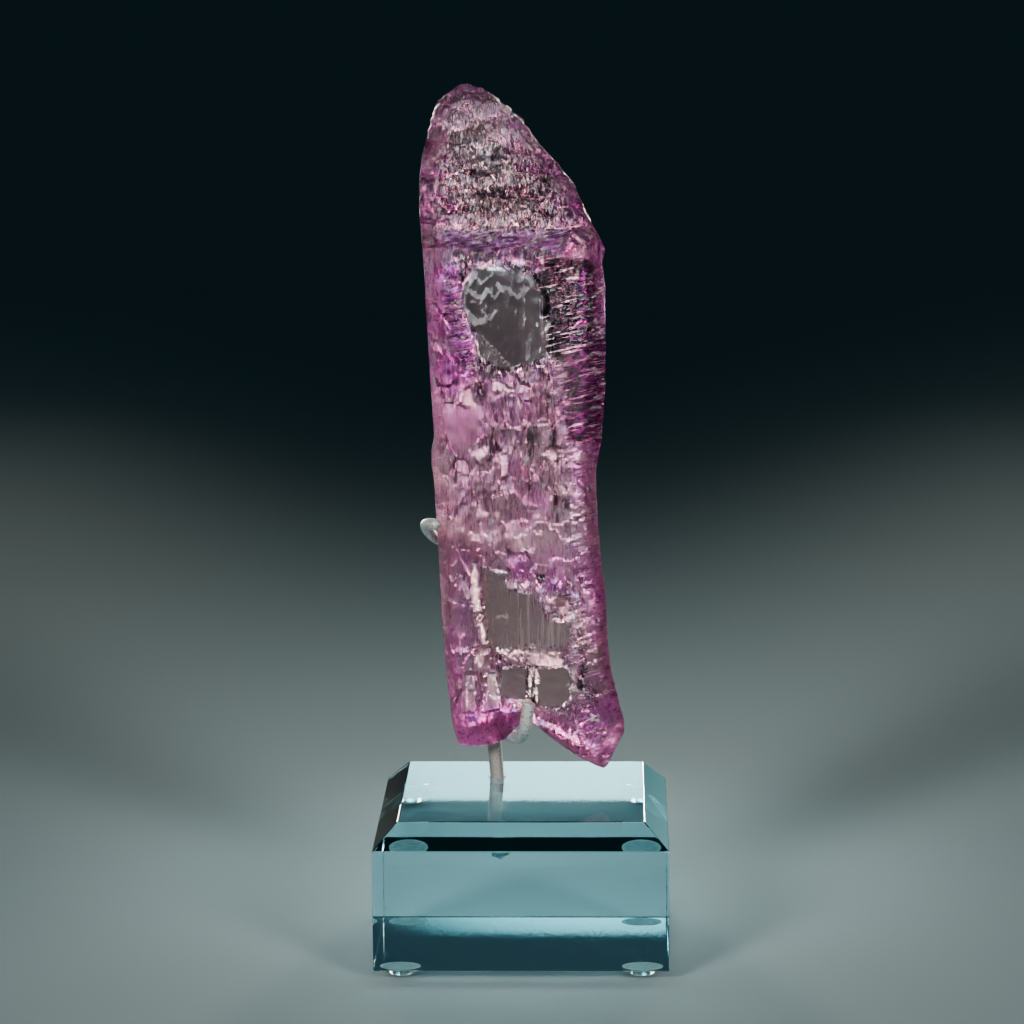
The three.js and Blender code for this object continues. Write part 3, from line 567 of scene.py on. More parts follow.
# how the surface changes over the front: a ground value, then strength, softness and outline of
# each patch
zones = {
    "lilac": (0.46, [
        (0.12, 2.0, [(-14, 162), (-8, 164), (1, 154), (9, 146), (8, 141), (-10, 141), (-14, 150)]),
        (0.42, 1.0, [(-18, 142.5), (2, 142.6), (10, 144.4), (15, 138), (8, 136.6), (-12, 136.4),
            (-18, 134)]),
        (0.72, 1.6, [(10, 137), (17, 139), (17, 95), (12, 86), (9, 95), (8, 112), (9, 119), (10.5, 125)]),
        (0.92, 0.7, [(-20, 136), (-12, 135), (-11.4, 126), (-8.6, 118), (-8.6, 112), (-18, 108)]),
        (0.7, 1.2, [(-18, 109), (-8, 107.6), (-8, 99), (-12, 97), (-17, 97)]),
        (0.55, 1.2, [(-16, 97), (2, 97), (4, 86), (-2, 78), (-16, 78)]),
        (0.66, 0.6, [(-15, 80), (-10, 79.6), (-10.4, 66), (-8.8, 60), (-14, 58)]),
        (0.9, 0.4, [(-2.5, 97.4), (0.9, 97.4), (0.8, 94), (-1.9, 94)]),
        (0.9, 0.6, [(-2.2, 79), (1.8, 79), (2.2, 74), (-2, 73.6)]),
        (0.8, 0.8, [(5, 79), (9.6, 79), (9.6, 71), (5, 71.4)]),
        (1.0, 0.5, endFace),
        (0.75, 0.6, prong),
        (0.8, 0.5, [(-1.3, 55.2), (1.1, 55.3), (1, 50), (-0.2, 49.8), (-2.1, 51.5)]),
        (0.75, 1.0, [(10.4, 74), (12, 73), (16, 62), (18, 54), (20, 52), (17, 79), (12, 79)])]),
    "blush": (0.18, [
        (0.5, 1.0, band),
        (0.7, 2.0, [(-17, 113), (6, 114), (9, 104), (6, 80), (-16, 80)]),
        (0.5, 2.0, [(-9, 114), (-2, 115), (4, 113), (2, 105), (-4, 102), (-8, 106)]),
        (0.95, 0.5, slantedPane),
        (1.0, 0.5, [(-10.3, 98.6), (-7.8, 100.8), (-7, 99.5), (-7.3, 96.4), (-9.2, 96.4)]),
        (0.6, 0.9, [(-11.4, 96), (-8.1, 97.4), (-3.1, 94), (-6.4, 92.2), (-11.5, 92)]),
        (1.0, 0.4, [(-5, 59.4), (-2.7, 60), (-0.2, 60.6), (8, 60.4), (8, 57.6), (6, 56.4), (-1.1, 56.5),
            (-3.4, 57)]),
        (0.8, 0.5, [(5.5, 71.5), (9.1, 70.7), (12, 67), (12, 65), (5.7, 66.6)]),
        (0.6, 0.6, [(9.4, 142.4), (13, 140.4), (13.4, 138.6), (9, 140)]),
        (0.5, 0.8, [(4.4, 137), (6, 137), (5.6, 130), (4.4, 132)])]),
    # pale patches: whitish frosted etch, partly painted highlight
    "pale": (0.0, [
        (0.8, 0.5, [(-17.8, 122), (-16, 121.4), (-15, 118.6), (-16.4, 118.8)]),
        (0.75, 0.35, [(-11.8, 111), (-10, 111.8), (-8.9, 108.6), (-10.6, 107.8), (-12, 108.8)]),
        (0.8, 0.4, [(-5.4, 113.2), (-4.1, 112.8), (-1.3, 111.4), (-1.8, 110.7), (-4.9, 111.2)]),
        (0.7, 0.4, [(-9.6, 98.4), (-7.8, 100.2), (-7.4, 99), (-8.4, 97)]),
        (0.7, 0.2, [(-4.1, 98.6), (-3, 98.7), (-2.7, 97.7), (-2.9, 94.2), (-3.9, 94.1)]),
        (0.9, 0.4, [(0, 104.2), (0.6, 105.9), (1.9, 104.9), (1.5, 104)]),
        (0.25, 0.3, [(3.2, 105.4), (5.1, 105.2), (5.9, 102), (5.2, 100.3), (4, 101)]),
        (0.3, 0.3, [(6.9, 103.7), (8.3, 106), (9, 103.5), (7.5, 100.3), (6.9, 100.6)]),
        (0.9, 0.5, [(4.3, 98.6), (6.2, 100), (7.6, 98.7), (6.1, 97.3)]),
        (0.9, 0.4, [(6.7, 93.5), (8.6, 92.3), (8.8, 90.3), (7.9, 90.6)]),
        (0.6, 0.6, [(-10, 88.6), (-8.6, 90), (-7, 87), (-8.6, 85.6)]),
        (0.8, 0.5, [(-10.2, 82.6), (-8.8, 83), (-8.4, 81.6), (-10, 81.2)]),
        (0.7, 0.4, [(10, 97.6), (12.8, 99.4), (13, 97.4), (11, 96.4)]),
        (1.0, 0.3, [(-10, 77.3), (-8.6, 77.4), (-8.4, 69.7), (-8.3, 66.8), (-9.8, 66.8)]),
        (1.0, 0.3, [(-9.1, 67.1), (-7.9, 66.8), (-6.9, 60.5), (-8.2, 60.5)]),
        (0.6, 0.5, [(-8.6, 60), (-6.8, 60), (-6.4, 56), (-9.6, 55)]),
        (0.6, 0.3, [(-12.1, 73), (-11.3, 73.3), (-10, 70.2), (-10.8, 69.3)]),
        (1.0, 0.35, [(-11.4, 54.9), (-9.4, 55), (-9.4, 47.2), (-11.4, 47.1)]),
        (0.8, 0.25, [(-6.9, 55.1), (-4.9, 55.1), (-4.9, 47.8), (-7.3, 46.9)]),
        (0.62, 0.7, [(-4.7, 59.2), (-2.7, 59.5), (-0.2, 60.4), (7.7, 60.2), (7.7, 58.2), (6, 57),
            (-1.1, 57), (-3, 57.4)]),
        (0.85, 0.3, [(1.1, 56.4), (1.8, 56.4), (1.75, 50.1), (1.05, 50.1)]),
        (0.85, 0.3, [(2.3, 56.4), (3, 56.4), (3.15, 48.8), (2.45, 48.8)]),
        (0.4, 0.25, [(8.9, 57), (10.6, 57.3), (10.8, 52), (8.9, 52.2)]),
        (0.5, 0.25, [(7.9, 48.6), (9.3, 51.2), (9.8, 51), (8.6, 48.3)]),
        (0.5, 0.4, [(5.7, 71), (9, 70.4), (9.2, 67.6), (5.9, 67.6)]),
        (0.6, 0.5, [(10.6, 141.6), (13, 140), (12.5, 139.6), (10, 141)]),
        (0.5, 0.4, [(4, 137.6), (5.4, 137.4), (5.4, 133), (4.2, 134)])]),
    # painted shade: dark patches and lines over the front
    "dark": (0.0, [
        (0.4, 1.6, [(-7, 160), (-3.4, 159), (-1.4, 155), (-3.4, 152.6), (-6.4, 154)]),
        (0.14, 0.8, littlePane),
        (0.85, 0.4, [(-9.6, 113.3), (-6.3, 112.7), (-6.6, 109.9), (-8, 109.4), (-9.1, 110.7)]),
        (0.9, 0.3, [(5.8, 107.1), (6.6, 106.3), (7, 102.1), (6.2, 99.8), (5.5, 100.3), (6, 102.9)]),
        (0.7, 0.4, [(4.4, 112), (5.4, 112), (5.6, 106.8), (4.8, 106.8)]),
        (0.8, 0.3, [(1.2, 104), (2.8, 104), (2.4, 98), (0.6, 98.4)]),
        (0.85, 0.3, [(-6.1, 102.4), (-5.5, 102.7), (-4.1, 100.1), (-6.1, 97.3), (-6.8, 97.3)]),
        (0.6, 0.4, [(-6.2, 109), (-5, 109), (-4.4, 104.6), (-5.4, 104.6)]),
        (0.9, 0.3, [(-13.4, 98.3), (-12.5, 97.7), (-12.5, 92.6), (-13.3, 92.6)]),
        (0.8, 0.3, [(1.3, 95.7), (2.1, 95.8), (2.1, 91), (1.2, 90.9)]),
        (0.9, 0.3, [(6.1, 93.6), (7.1, 93), (7.1, 85.7), (6.2, 85.7)]),
        (0.8, 0.3, [(8.1, 90.2), (9.5, 90.3), (9.4, 87.7), (8.1, 88)]),
        (0.7, 0.4, [(12, 91.2), (13.4, 91.5), (13.3, 88.4), (12, 88)]),
        (0.7, 0.5, [(-15.8, 112), (-12.4, 113), (-12.4, 107.6), (-15, 108.4)]),
        (0.4, 0.8, [(-16.6, 133), (-13.4, 132), (-12.6, 122), (-11, 116), (-14, 112), (-16.4, 118)]),
        (0.8, 0.4, [(-12, 136), (-9.1, 135.4), (-10.4, 133), (-11.5, 132.1), (-12, 133.4)]),
        (0.9, 0.3, [(2.7, 75.1), (4.4, 75.1), (4.4, 73.7), (2.7, 72.5)]),
        (0.5, 0.3, [(-3, 82), (-2.2, 82), (-2.2, 75), (-3, 75)]),
        (0.6, 0.4, [(-13.8, 55.6), (-12.6, 55.6), (-12.2, 46.4), (-13.4, 46.4)]),
        (0.9, 0.25, [(0.6, 56.4), (1.2, 56.4), (1.2, 50.4), (0.8, 50.4)]),
        (0.8, 0.25, [(1.8, 56.4), (2.3, 56.4), (2.5, 49), (1.9, 49)]),
        (0.7, 0.4, [(11, 57), (12.2, 57), (12.4, 52), (11.2, 52)]),
        (0.35, 0.5, [(15.4, 84), (16.4, 84), (17.2, 64), (16, 64)]),
        (0.7, 0.6, [(15, 45), (18, 46), (17.6, 38), (15, 37)]),
        (0.75, 0.5, [(5.6, 155.6), (6.6, 152.4), (5.4, 148.6), (3.6, 150.6), (4.8, 153)])]),
    # painted shade: a dim wash over the crown, the band and much of the blade's middle
    "paintedShade": (0.0, [
        (0.45, 1.5, [(-16, 164), (0, 162), (14, 142), (12, 141), (-19, 141)]),
        (0.85, 1.2, band),
        (0.62, 0.8, [(-17, 137), (8, 137), (4, 132), (0, 134.6), (-8, 134.8), (-11.4, 133), (-11.6, 122),
            (-16, 122)]),
        (0.4, 1.5, [(-13, 136), (-9, 137), (4, 137), (6, 117), (6, 108), (-8, 108), (-9, 112),
            (-12, 124)]),
        (0.44, 1.2, [(-16, 112), (8, 112), (10, 100), (8, 84), (-16, 84)]),
        (0.6, 1.5, [(-8.6, 116), (8, 116), (9.6, 101), (-7, 101)]),
        (0.15, 0.6, endFace),
        (0.4, 0.8, [(10.2, 136), (12.9, 136), (12.9, 116), (10.4, 116)]),
        (0.5, 1.0, [(7.4, 118), (13, 118), (13, 99), (8.4, 99)]),
        (0.4, 1.0, [(-16.8, 134), (-12.6, 133), (-12.2, 124), (-9.6, 115), (-12, 109), (-16.6, 112)]),
        (0.64, 0.9, leftPatch),
        (0.25, 1.0, [(6, 48), (14, 50), (20, 48), (18, 36), (8, 36), (3, 44)])]),
    # comb: level crests in the relief; in the colour its troughs get painted shade and its crests a
    # painted peach highlight
    "comb": (0.0, [
        (0.75, 0.7, [(6.2, 137.6), (12, 137.7), (14.4, 135.3), (14.4, 120.5), (12.2, 119), (9.8, 116.7),
            (5.4, 117), (5.4, 125), (4.4, 126.2), (4.6, 130.1), (3, 133.5)]),
        (1.0, 0.6, [(4.6, 136.6), (7.9, 137.4), (11.8, 135), (13.2, 130.7), (12.4, 127.2), (11.4, 119.6),
            (8.1, 118), (5.6, 118), (5.6, 125), (4.8, 126.4), (5, 128.6), (3.4, 132)]),
        (0.72, 0.9, [(7.6, 119), (14, 121), (17, 122), (17, 100), (9, 101)]),
        (0.2, 0.8, [(12.6, 99), (17, 100), (19, 60), (14.6, 60), (13.4, 80)]),
        (0.25, 0.8, [(-20, 160), (-16.8, 160), (-15.4, 100), (-14, 46), (-18, 46)]),
        (0.4, 0.6, [(-15.6, 131), (-11.6, 130), (-10.4, 122), (-9, 116.6), (-12.6, 117.6)]),
        (0.45, 0.5, [(5.5, 71.5), (9.4, 70.9), (9.6, 67), (5.7, 67)]),
        (0.25, 0.6, [(11, 64), (16, 61), (19, 50), (11, 50)])]),
    "fade": (0.0, [
        (0.35, 3.0, [(-21, 113), (-14, 113), (-12, 82), (-13, 60), (-19, 60)]),
        (0.25, 2.0, [(10, 98), (18, 98), (20, 56), (12, 56)])]),
    "grain": (0.35, [
        (0.1, 2.0, [(-19, 170), (2, 170), (14, 144), (-19, 144)]),
        (0.5, 1.0, band),
        (0.44, 1.5, [(-17, 113), (9, 113), (10, 100), (9, 78), (-17, 78)]),
        (0.2, 1.0, [(-17, 79), (-9, 79), (-8, 58), (-15, 57)]),
        (0.15, 1.0, [(10, 78), (17, 78), (19, 50), (11, 50)]),
        (0.08, 0.9, [(-15.8, 107), (-12.7, 108), (-8.6, 107.4), (-8.1, 104), (-11.7, 98.8),
            (-15.9, 103.9)]),
        (0.06, 0.5, endFace),
        (0.15, 0.6, prong)]),
    "veins": (0.12, [
        (0.55, 1.0, [(-18, 143.5), (2, 143), (12, 145), (15, 138), (8, 136.6), (-12, 136.4), (-18, 135)]),
        (0.5, 1.5, [(-16, 150), (6, 150), (12, 144), (-16, 143)]),
        (0.5, 1.5, [(-18, 132), (-12, 132), (-9, 112), (-17, 112)])]),
    "frost": (0.38, [
        (0.32, 2.0, [(-19, 168), (2, 168), (16, 142), (14, 134), (-19, 134)]),
        (0.42, 1.0, band),
        (0.62, 2.5, [(-17, 113), (8, 113), (10, 100), (9, 76), (-17, 76)]),
        (0.16, 1.5, [(8, 134), (17, 136), (17, 100), (9, 100)]),
        (0.5, 1.2, [(7, 119), (13, 119), (13, 97), (8, 97)]),
        (0.45, 1.2, [(-18, 132), (-11.5, 132), (-10.5, 114), (-18, 110)]),
        (0.9, 0.8, leftPatch),
        (0.55, 0.8, littlePane),
        (0.16, 0.4, [(-9, 135.4), (-5, 135.5), (-0.7, 135.3), (2.3, 133.9), (5.3, 130.2), (6.5, 126.1),
            (6.1, 118.5), (3.5, 117.2), (0.1, 116), (-3.4, 115.1), (-7.7, 117.6), (-10, 124.6),
            (-11.1, 130), (-11.2, 132)]),
        (0.3, 0.4, [(-8.8, 135.5), (-0.7, 135.3), (2.3, 134.1), (4.2, 132.1), (2.7, 130.9), (0.2, 131.8),
            (-4.6, 133.6), (-7.1, 134.4)]),
        (0.25, 1.0, dragMarks),
        (0.32, 0.6, [(-8, 76.2), (-2.9, 75.2), (-2.4, 71.8), (2.7, 70.8), (4.9, 66), (9.4, 66.1), (8, 60),
            (-6, 58.9)]),
        (0.1, 0.4, [(-4.4, 56), (-1.1, 56.4), (8.8, 56.6), (10.8, 55.6), (11, 51), (8, 47.6),
            (-2.9, 49.8)]),
        (0.55, 0.8, endFace)]),
    "streak": (0.0, [
        (1.0, 0.8, [(-2.3, 71.6), (2.7, 70.6), (8.4, 66), (9.4, 60), (-2.4, 60)]),
        (0.8, 0.8, dragMarks),
        (1.0, 0.5, [(-12, 55), (-9.2, 55), (-9, 46), (-12, 46)])]),
    "across": (0.0, [
        (0.7, 1.0, [(-20, 142.5), (12, 144), (15, 139.6), (8, 138.6), (-12, 138), (-19, 138)]),
        (0.9, 1.0, [(-15.6, 134), (-11.4, 133), (-11.6, 126), (-8.4, 117), (-8.6, 110), (-14.6, 122)]),
        (0.9, 1.2, [(9, 72), (12.4, 73), (12.4, 64), (18, 60), (19, 48), (9, 50)])]),
    "etch": (0.46, [
        (0.32, 1.5, [(-16, 112), (8, 112), (10, 100), (9, 80), (-16, 80)]),
        (1.0, 2.0, [(-19, 168), (2, 168), (16, 142.5), (12, 142), (-19, 141.5)]),
        (0.42, 1.0, band),
        (0.45, 1.4, [(-8.4, 160), (-4, 159), (-2, 155.6), (-3, 151.6), (-6.6, 152.4)]),
        (0.3, 1.0, [(-15.5, 106.7), (-12.7, 107.6), (-8.8, 107.1), (-8.6, 101.7), (-11.7, 99.1),
            (-15.6, 103.9)]),
        (0.3, 0.8, endFace),
        (1.0, 0.5, [(-5, 60.6), (9, 60.6), (8, 56), (-5, 55.6)]),
        (0.5, 1.0, [(-14.5, 75), (-10, 76), (-9, 62), (-14, 60)])])}

inclineLine = {"low": (9.5, 60.0), "high": (4.5, 125.0), "blend": 3.0, "top": (137.0, 134.0)}
crown = {"from": 132.0, "to": 140.0}
lean = {"x": 0.5, "z": 0.42}
rimFade = {"reach": (1.5, 5.5), "share": (0.2, 0.9)}
# how ragged edges wander: size and seed
wanders = {"patch": (3.0, 11), "pane": (2.2, 3), "backPane": (2.2, 4), "mark": (1.2, 5), "rim": (5.0, 21)}


def ease(low, high, value):
    share = np.clip((value - low) / (high - low), 0, 1)
    return share * share * (3 - 2 * share)


# distance to a run of straight lines
def pathDistance(path, x, z, closed=False):
    near = np.full(x.shape, 1e9)
    ends = path[1:] + path[:1] if closed else path[1:]
    for (ax, az), (bx, bz) in zip(path, ends):
        ex, ez = bx - ax, bz - az
        share = np.clip(((x - ax) * ex + (z - az) * ez) / (ex * ex + ez * ez), 0, 1)
        near = np.minimum(near, np.hypot(x - ax - ex * share, z - az - ez * share))
    return near


# the same, positive inside a closed outline
def depthInside(path, x, z):
    inside = np.zeros(x.shape, bool)
    for (ax, az), (bx, bz) in zip(path, path[1:] + path[:1]):
        if az != bz:
            inside ^= ((az > z) != (bz > z)) & (x < ax + (bx - ax) * (z - az) / (bz - az))
    return np.where(inside, 1, -1) * pathDistance(path, x, z, closed=True)


# a smooth repeatable wander between about -1 and 1
def wander(x, z, size, seed):
    waves = np.random.default_rng(seed)
    total = np.zeros_like(x)
    for _ in range(9):
        angle, turn = waves.uniform(0, 2 * pi, 2)
        pitch = 2 * pi / (size * waves.uniform(0.6, 1.8))
        total += np.sin((x * cos(angle) + z * sin(angle)) * pitch + turn)
    return total / 4


def edgeAt(edge, key, value):
    table = np.array(blade[edge], float)
    return [np.interp(value, table[:, key], table[:, column]) for column in range(table.shape[1])]


def along(low, high, share):
    return low + (high - low) * share


# grid lines from 0 to 1, with one on each crease
def gridLines(stops, cells):
    lines = [np.zeros_like(stops[0])]
    before = np.zeros_like(stops[0])
    for stop, count in zip(stops, cells):
        for step in range(1, count + 1):
            lines.append(along(before, stop, step / count))
        before = stop
    return np.array(lines)


ends = {
    "left": blade["bottom"][0][0], "right": blade["bottom"][-1][0],
    "leftLow": blade["left"][0][1], "rightLow": blade["right"][0][1],
    "leftHigh": blade["left"][-1][1], "rightHigh": blade["right"][-1][1],
    "topLeft": blade["top"][0][0], "topRight": blade["top"][-1][0]}


def leftAt(v):
    return edgeAt("left", 1, along(ends["leftLow"], ends["leftHigh"], v))


def rightAt(v):
    return edgeAt("right", 1, along(ends["rightLow"], ends["rightHigh"], v))


def bottomAt(u):
    return edgeAt("bottom", 0, along(ends["left"], ends["right"], u))


def topAt(u):
    return edgeAt("top", 0, along(ends["topLeft"], ends["topRight"], u))


def outlinePoint(u, v):
    left, right, bottom, top = leftAt(v), rightAt(v), bottomAt(u), topAt(u)
    bottomLift = bottom[1] - along(ends["leftLow"], ends["rightLow"], u)
    topLift = top[1] - along(ends["leftHigh"], ends["rightHigh"], u)
    z = along(left[1], right[1], u)
    lift = bottomLift * (1 - v) ** blade["lobeLift"] + topLift * v ** blade["crownLift"]
    return along(left[0], right[0], u), z + lift


def bevelShare(u, v, side):
    x, z = outlinePoint(u, v)
    left, right, bottom, top = leftAt(v), rightAt(v), bottomAt(u), topAt(u)
    width = 2 + side
    low = z - outlinePoint(u, np.zeros_like(v))[1]
    high = outlinePoint(u, np.ones_like(v))[1] - z
    wall = bottom[4] * (1 - side)
    stepped = np.minimum(low / blade["steepRun"], wall + (1 - wall) * low / bottom[width])
    bottomShare = np.where(wall > 0, stepped, low / bottom[width])
    sideShare = np.minimum((x - left[0]) / left[width], (right[0] - x) / right[width])
    return np.clip(np.minimum(np.minimum(sideShare, bottomShare), high / top[width]), 0, 1)


def crystalGrid():
    cells = blade["columns"]
    rowShare = np.linspace(0, 1, sum(cells) + 1)
    bottom, top = bottomAt(rowShare), topAt(rowShare)
    height = along(ends["leftHigh"], ends["rightHigh"], rowShare) \
        - along(ends["leftLow"], ends["rightLow"], rowShare)
    v = gridLines([bottom[2] / height, 1 - top[2] / height, np.ones_like(height)], blade["rows"])
    v = v.T  # column, row
    left, right = leftAt(v), rightAt(v)
    width = right[0] - left[0]
    inner = np.maximum(right[2], right[3] + blade["leastIncline"])
    outer = np.minimum(right[2], right[3])
    lines = gridLines([left[2] / width, 1 - inner / width, 1 - outer / width, np.ones_like(width)], cells)
    column = np.arange(len(v))
    return lines[column, column], v


# the share of each point that a soft-edged patch covers
def covers(path, softness, x, z):
    inward = depthInside(path, x, z) + wander(x, z, *wanders["patch"]) * softness * 0.5
    return ease(-softness, softness, inward)


def zoneOf(name, x, z):
    ground, patches = zones[name]
    tone = np.full(x.shape, ground)
    for strength, softness, path in patches:
        tone = along(tone, strength, covers(path, softness, x, z))
    return tone


# pale patches lean towards the light: how far each point of them is lifted
def liftOf(x, z):
    lift = np.zeros_like(x)
    for strength, softness, path in zones["pale"][1]:
        middle = np.mean(path, axis=0)
        slope = lean["x"] * (x - middle[0]) + lean["z"] * (z - middle[1])
        lift = along(lift, strength * slope, covers(path, softness, x, z))
    return lift


# one face of the crystal, the front with side 0 or the back with side 1
def crystalBody(u, v, side):
    x, z = outlinePoint(u, v)
    share = bevelShare(u, v, side)
    polish, clear, sunk, mark = (np.zeros_like(x) for _ in range(4))
    shiftX, shiftZ = panes["backShift"] if side else (0, 0)
    faces = panes["faces"][:panes["windows"]] if side else panes["faces"]
    ragged = panes["ragged"] * wander(x, z, *wanders["backPane" if side else "pane"])
    for order, (depth, leanX, leanZ, smoothness, soft, path) in enumerate(faces):
        inside = ease(-soft / 2, soft / 2, depthInside(path, x - shiftX, z - shiftZ) + ragged)
        middle = np.mean(path, axis=0)
        floor = panes["backSunk"] if side else depth + leanX * (x - middle[0]) + leanZ * (z - middle[1])
        polish = np.maximum(polish, inside * smoothness)
        if order < panes["windows"]:
            clear = np.maximum(clear, inside)
        sunk = along(sunk, floor, inside)
    for wide, deep, pale, path in marks if not side else ():
        line = ease(wide, wide * 0.6, pathDistance(path, x, z) + 0.06 * wander(x, z, *wanders["mark"]))
        sunk = sunk + line * deep
        mark = np.maximum(mark, line * pale)
    face = blade["backY"] - sunk if side else blade["frontY"] + sunk
    y = along(blade["ridgeY"], face, share) + blade["turn"] * x

    creaseX = along(inclineLine["low"][0], inclineLine["high"][0],
                    ease(inclineLine["low"][1], inclineLine["high"][1], z))
    incline = ease(0, inclineLine["blend"], x - creaseX) * ease(*inclineLine["top"], z)
    edgeDistance = np.minimum(x - leftAt(v)[0], rightAt(v)[0] - x)
    rim = 1 - ease(*rimFade["reach"], edgeDistance + wander(x, z, *wanders["rim"]))
    rim = np.maximum(rim, 1 - ease(*rimFade["share"], share)) * (1 - zoneOf("fade", x, z))
    onFront = 1 - side
    fields = {name: zoneOf(name, x, z) for name in zones if name != "fade"}
    for name in ("blush", "dark", "pale", "comb", "streak", "grain"):
        fields[name] = fields[name] * onFront
    fields |= {
        "polish": polish, "share": share, "side": np.full(x.shape, 2.0 * side - 1),
        "crown": ease(crown["from"], crown["to"], z), "lift": liftOf(x, z) * onFront,
        "lilac": np.maximum(fields["lilac"] * (1 - 0.9 * clear), rim),
        # painted shade: the dim wash stays off the windows and most of the rims
        "paintedShade": fields["paintedShade"] * (1 - clear) * (1 - rim * 0.9),
        # painted shade: a dark line along the edges of the windows
        "dark": np.maximum(fields["dark"] * (1 - rim * 0.7), 3 * clear * (1 - clear)),
        "pale": np.maximum(fields["pale"], mark), "across": np.maximum(incline, fields["across"]),
        "frost": fields["frost"] + mark * 0.5 + rim * 0.3, "grain": fields["grain"] * (1 - clear),
        "etch": fields["etch"] * (1 - polish) + mark * 0.5}
    return np.stack([x, y, z], axis=-1), fields


def crystalMesh():
    u, v = crystalGrid()
    columns, rows = u.shape
    front, frontFields = crystalBody(u, v, 0)
    back, backFields = crystalBody(u, v, 1)
    numbers = np.arange(columns * rows).reshape(columns, rows)
    # the back shares the ridge with the front
    rim = np.zeros((columns, rows), bool)
    rim[0], rim[-1], rim[:, 0], rim[:, -1] = True, True, True, True
    backNumbers = numbers.copy()
    backNumbers[~rim] = columns * rows + np.arange((~rim).sum())
    points = np.concatenate([front.reshape(-1, 3), back[~rim]]) * mm

    def quads(n):
        return np.stack([n[:-1, :-1], n[1:, :-1], n[1:, 1:], n[:-1, 1:]], axis=-1).reshape(-1, 4)

    faces = np.concatenate([quads(numbers), quads(backNumbers)[:, ::-1]])
    piece = meshPiece("crystalForm", points, faces)
    for key in frontFields:
        values = np.concatenate([frontFields[key].reshape(-1), backFields[key][~rim]])
        field = piece.data.attributes.new(key, "FLOAT", "POINT")
        field.data.foreach_set("value", values.astype(np.float32))
    return piece


relief = {
    "Tuft Height": 0.62, "Tuft Width": 4.0, "Tuft Length": 3.4,
    "Stroke Height": 0.17, "Stroke Width": 0.62, "Stroke Length": 2.4,
    "Flute Height": 0.12, "Flute Width": 1.3, "Ripple Height": 0.3, "Ripple Width": 4.6,
    "Ripple Length": 0.85, "Ripple Slope": 0.2, "Swell Height": 0.3, "Swell Size": 7.0,
    "Streak Height": 0.12, "Streak Width": 0.75, "Step Height": 0.14, "Step Width": 4.6,
    "Step Length": 8.0, "Step Lean": 0.13, "Rim Nibble": 0.3, "Jitter": 0.12, "Seed": 7.0}


